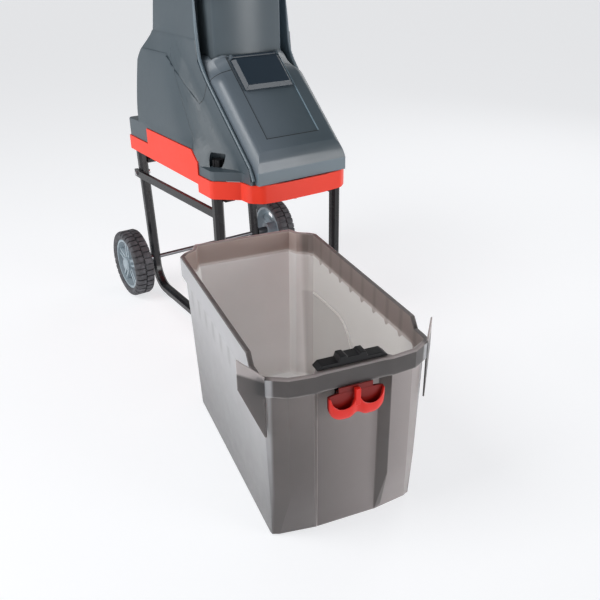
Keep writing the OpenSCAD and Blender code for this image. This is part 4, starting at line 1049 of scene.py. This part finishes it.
class SHREDDER_OT_bin(bpy.types.Operator):
    """Smoky chip bin: leaning front with two pilasters, rim band, gusset wings and inner ridges"""

    bl_idname = "shredder.chip_bin"
    bl_label = "Chip bin"

    # The finishes, and their places in the piece's list
    finishes = ("bin_outside", "bin_rim", "bin_inside_lit", "bin_wing", "bin_ridge")
    outside, edge, inside, wing, ridge = range(5)
    # Radius on its edges, in metres
    rounding = 0.0008
    # Sizes in millimetres, in the bin's own axes
    top = 361
    front_top = 342
    band = 46
    front_band = 35
    band_out = 6
    window = (258, 304)
    # Depth and height along an inner ridge, and its section: rise from the wall, and place across the path
    ridge_path = ((456, 223), (395, 227), (325, 229), (298, 223), (275, 207), (256, 184), (245, 150),
                  (240, 100), (238, 10))
    ridge_section = ((0, 4), (3, 1.5), (3, -1.5), (0, -4))
    # Turn and width of a gusset wing, its place and thickness
    wing_turn = math.radians(52)
    wing_width = 32
    wing_place = (145, -15)
    wing_depth = 3

    def execute(self, context):
        mesh = bmesh.new()
        self.walls(mesh)
        self.ridges(mesh)
        faces_out(mesh)
        soften(mesh, self.rounding, 2, 40)
        self.wings(mesh)
        bmesh.ops.transform(mesh, matrix=BIN_PLACE, verts=mesh.verts)
        finish_piece("bin_form", mesh, self.finishes, "bin", ("bin_shell",), 14)
        return {"FINISHED"}

    def half_width(self, z):
        """Half the bin's width at a height."""
        return 139 + 11 * z / self.top

    def outline(self, z, bridged=False):
        """The outline at a height; the rim band bridges the panel between the pilasters."""
        half = self.half_width(z)
        rear = 497 + 19 * z / self.top
        lean = min(z / 100, 1)
        panel = -32 if bridged else -13.5 - 2.5 * lean
        right = [(26, panel), (56, panel), (58 + 12 * lean, -13.5 - (20 if bridged else 21.5) * lean),
                 (126 - 14 * lean, -4 - 25 * lean), (half - 6, -1 - 9.8 * lean),
                 (half - 1.2, 0.5 - 5 * lean), (half, 6), (half, 30), (half, 44), (half, 180), (half, 330),
                 (half, rear - 48), (half - 9, rear - 37), (half - 32, rear - 22), (half - 42, rear)]
        return [Vector(point) for point in right] + [Vector((-x, y)) for x, y in reversed(right)]

    def ring(self, distance, height, bridged=False):
        """One outline in space, so far inside the wall, at one height."""
        return [Vector((*point, height)) * MM for point in inset(self.outline(height, bridged), distance)]

    def rim_ring(self, distance, front, behind, bridged=False):
        """One outline near the top, so far below the rim in front and behind the rim's rise."""
        ring = []
        for point in inset(self.outline(self.top, bridged), distance):
            low, high = self.front_top - front, self.top - behind
            ring.append(Vector((*point, low + (high - low) * min(max((point.y - 30) / 14, 0), 1))) * MM)
        return ring

    def walls(self, mesh):
        """Outside wall, band, rim and inside wall in one closed skin, with the window behind the grip."""
        heights = [4, 50, 100, 150, 200, *self.window]
        wall = sizes().bin_wall / MM
        under = (self.front_band, self.band)
        outer = [self.ring(3, 0)] + [self.ring(0, z) for z in heights] + [self.rim_ring(0, *under)]
        outer += [self.rim_ring(-self.band_out, under[0] - 1.5, under[1] - 1.5, True),
                  self.rim_ring(-self.band_out, 2.5, 2.5, True)]
        inner = [self.rim_ring(1.8 - self.band_out, 0, 0, True), self.rim_ring(wall - 1, 0, 0),
                 self.rim_ring(wall, 1.5, 1.5), self.rim_ring(wall, *under)]
        inner += [self.ring(wall, z) for z in reversed(heights[1:])]
        inner += [self.ring(wall + 1, 8), self.ring(wall + 6, wall)]
        finishes = [self.outside] * (len(outer) - 1) + [self.edge] * 3 + [self.inside] * len(inner)
        lofted(mesh, outer + inner, finishes)
        opened = [face for face in mesh.faces if self.in_window(face)]
        bmesh.ops.delete(mesh, geom=opened, context="FACES_ONLY")
        bridge(mesh, [edge for edge in mesh.edges if edge.is_boundary])

    def in_window(self, face):
        """True for the two faces between which the latch passes."""
        x, y, z = face.calc_center_median() / MM
        return abs(x) < 1 and y < 0 and self.window[0] < z < self.window[1]

    def ridges(self, mesh):
        """A rounded ridge on each inner side wall: level along the back, then curving to the floor."""
        for _, side in SIDES:
            rings = []
            for (y, z), along in path_points(self.ridge_path):
                face = self.half_width(z) - 2.4
                rings.append([Vector((side * (face - rise), y - along.y * out, z + along.x * out)) * MM
                              for rise, out in self.ridge_section])
            lofted(mesh, rings, [self.ridge] * len(rings))

    def wings(self, mesh):
        """A gusset wing at each front corner."""
        along, out = math.cos(self.wing_turn), math.sin(self.wing_turn)
        reach = self.wing_width / along
        shape = [(0, 230), (3, 230), (reach, 306), (reach, 362), (0, 345)]
        x, y = self.wing_place
        for _, side in SIDES:
            rings = [[Vector((side * (x + a * along + depth * out), y + a * out - depth * along, z)) * MM
                      for a, z in shape] for depth in (0, self.wing_depth)]
            made = bmesh.new()
            lofted(made, rings, [self.wing])
            faces_out(made)
            soften(made, self.rounding, 2, 40)
            data = mesh_data("wing_shape", made)
            mesh.from_mesh(data)
            bpy.data.meshes.remove(data)


class SHREDDER_OT_latch(bpy.types.Operator):
    """Latch bar and its red grip with two finger scoops"""

    bl_idname = "shredder.latch"
    bl_label = "Latch"

    # Millimetres in the bin's own axes: the grip's back, its top, and the middle of a scoop
    back = -39.4
    grip_top = 300
    scoop_x = 26
    # Places across the grip at which it is lofted, from its end to its middle
    across = (50, 49.2, 47.5, 45, 42, 38, 33, 27, 21, 16, 12, 9, 6, 3)

    def execute(self, context):
        rounded_node("latch_bar", "black", "latch", 0.0016)
        self.grip()
        return {"FINISHED"}

    def grip(self):
        """Lofts the grip across its width: a bellied front whose rim dips at the two scoops."""
        places = [*self.across, 0, *(-x for x in reversed(self.across))]
        mesh = bmesh.new()
        lofted(mesh, [[Vector((x, y, z)) * MM for y, z in self.section(abs(x))] for x in places])
        faces_out(mesh)
        rib = add_box(mesh, (-4.5, self.back - 13, 276), (4.5, self.back - 1, 307))
        plate = add_box(mesh, (-31, self.back - 3.6, 282), (31, self.back, 310))
        neck = add_box(mesh, (-22, self.back - 1, 267), (22, -12.4, 286))
        round_off = {edge for vert in rib + plate + neck for edge in vert.link_edges}
        bevel(mesh, list(round_off), 0.0012, 3)
        bmesh.ops.transform(mesh, matrix=BIN_PLACE, verts=mesh.verts)
        finish_piece("latch_grip_form", mesh, "grip", "latch", ("latch_grip",), 50)

    def section(self, x):
        """The grip cut across at x, in y and z, from the back's foot round the front to the back's top."""
        back = self.back
        outer = x > self.scoop_x
        scoop = math.sqrt(max(0.0, 1 - ((x - self.scoop_x) / 21) ** 2))
        end = math.sqrt(max(0.0, 1 - (max(x - self.scoop_x, 0) / 24.2) ** 2))
        low = 254 + 22 * (1 - end) + 7 * smooth_step(16 - x, 0, 16)
        lip = (296 if outer else 290) - (21 if outer else 15) * scoop
        front = back - 4 - 11 * (0.25 + 0.75 * end) + 3 * smooth_step(14 - x, 0, 14)
        floor = max(lip - 15 * scoop, low + 4)
        deep = back - 4
        shallow = front + 2.4 + (deep - front - 2.4) * (1 - scoop)
        top = self.grip_top - 4 * (1 - end)
        inner = deep - shallow
        return [(back, low + 3), (back - 4, low + 0.6), ((front + back) / 2 - 3, low),
                (front + 2.5, low + 3), (front + 0.4, low + 8), (front, (low + lip) / 2 + 3),
                (front, lip - 1.2), (front + 0.9, lip), (front + 2, lip - 0.6), (shallow, lip - 3 * scoop),
                (shallow + inner * 0.35, floor + 2 * scoop), (shallow + inner * 0.8, floor + 2 * scoop),
                (deep, floor + 6 * scoop), (deep, lip + 0.4 * (self.grip_top - lip)), (deep, top),
                (back, top)]


OPERATORS = (SHREDDER_OT_stage, SHREDDER_OT_tube_frame, SHREDDER_OT_tyres, SHREDDER_OT_wheels,
             SHREDDER_OT_tray, SHREDDER_OT_housing, SHREDDER_OT_bin, SHREDDER_OT_latch)


class SHREDDER_PT_panel(bpy.types.Panel):
    """Lists the shredder's operators"""

    bl_label = "Garden shredder"
    bl_idname = "SHREDDER_PT_panel"
    bl_space_type = "VIEW_3D"
    bl_region_type = "UI"
    bl_category = "Shredder"

    def draw(self, context):
        for operator in OPERATORS:
            self.layout.operator(operator.bl_idname)


GROUPS = {"shredder_colours": ShredderColours, "shredder_sizes": ShredderSizes,
          "shredder_stage": StageSettings}
CLASSES = (*GROUPS.values(), *OPERATORS, SHREDDER_PT_panel)


def register():
    """Makes the settings, operators and panel known to Blender."""
    for item in CLASSES:
        bpy.utils.register_class(item)
    for name, group in GROUPS.items():
        setattr(bpy.types.Scene, name, bpy.props.PointerProperty(type=group))


def unregister():
    """Takes them back."""
    for name in GROUPS:
        delattr(bpy.types.Scene, name)
    for item in reversed(CLASSES):
        bpy.utils.unregister_class(item)


def main():
    """Builds everything."""
    register()
    for operator in OPERATORS:
        group, name = operator.bl_idname.split(".")
        getattr(getattr(bpy.ops, group), name)()


if __name__ == "__main__":
    main()
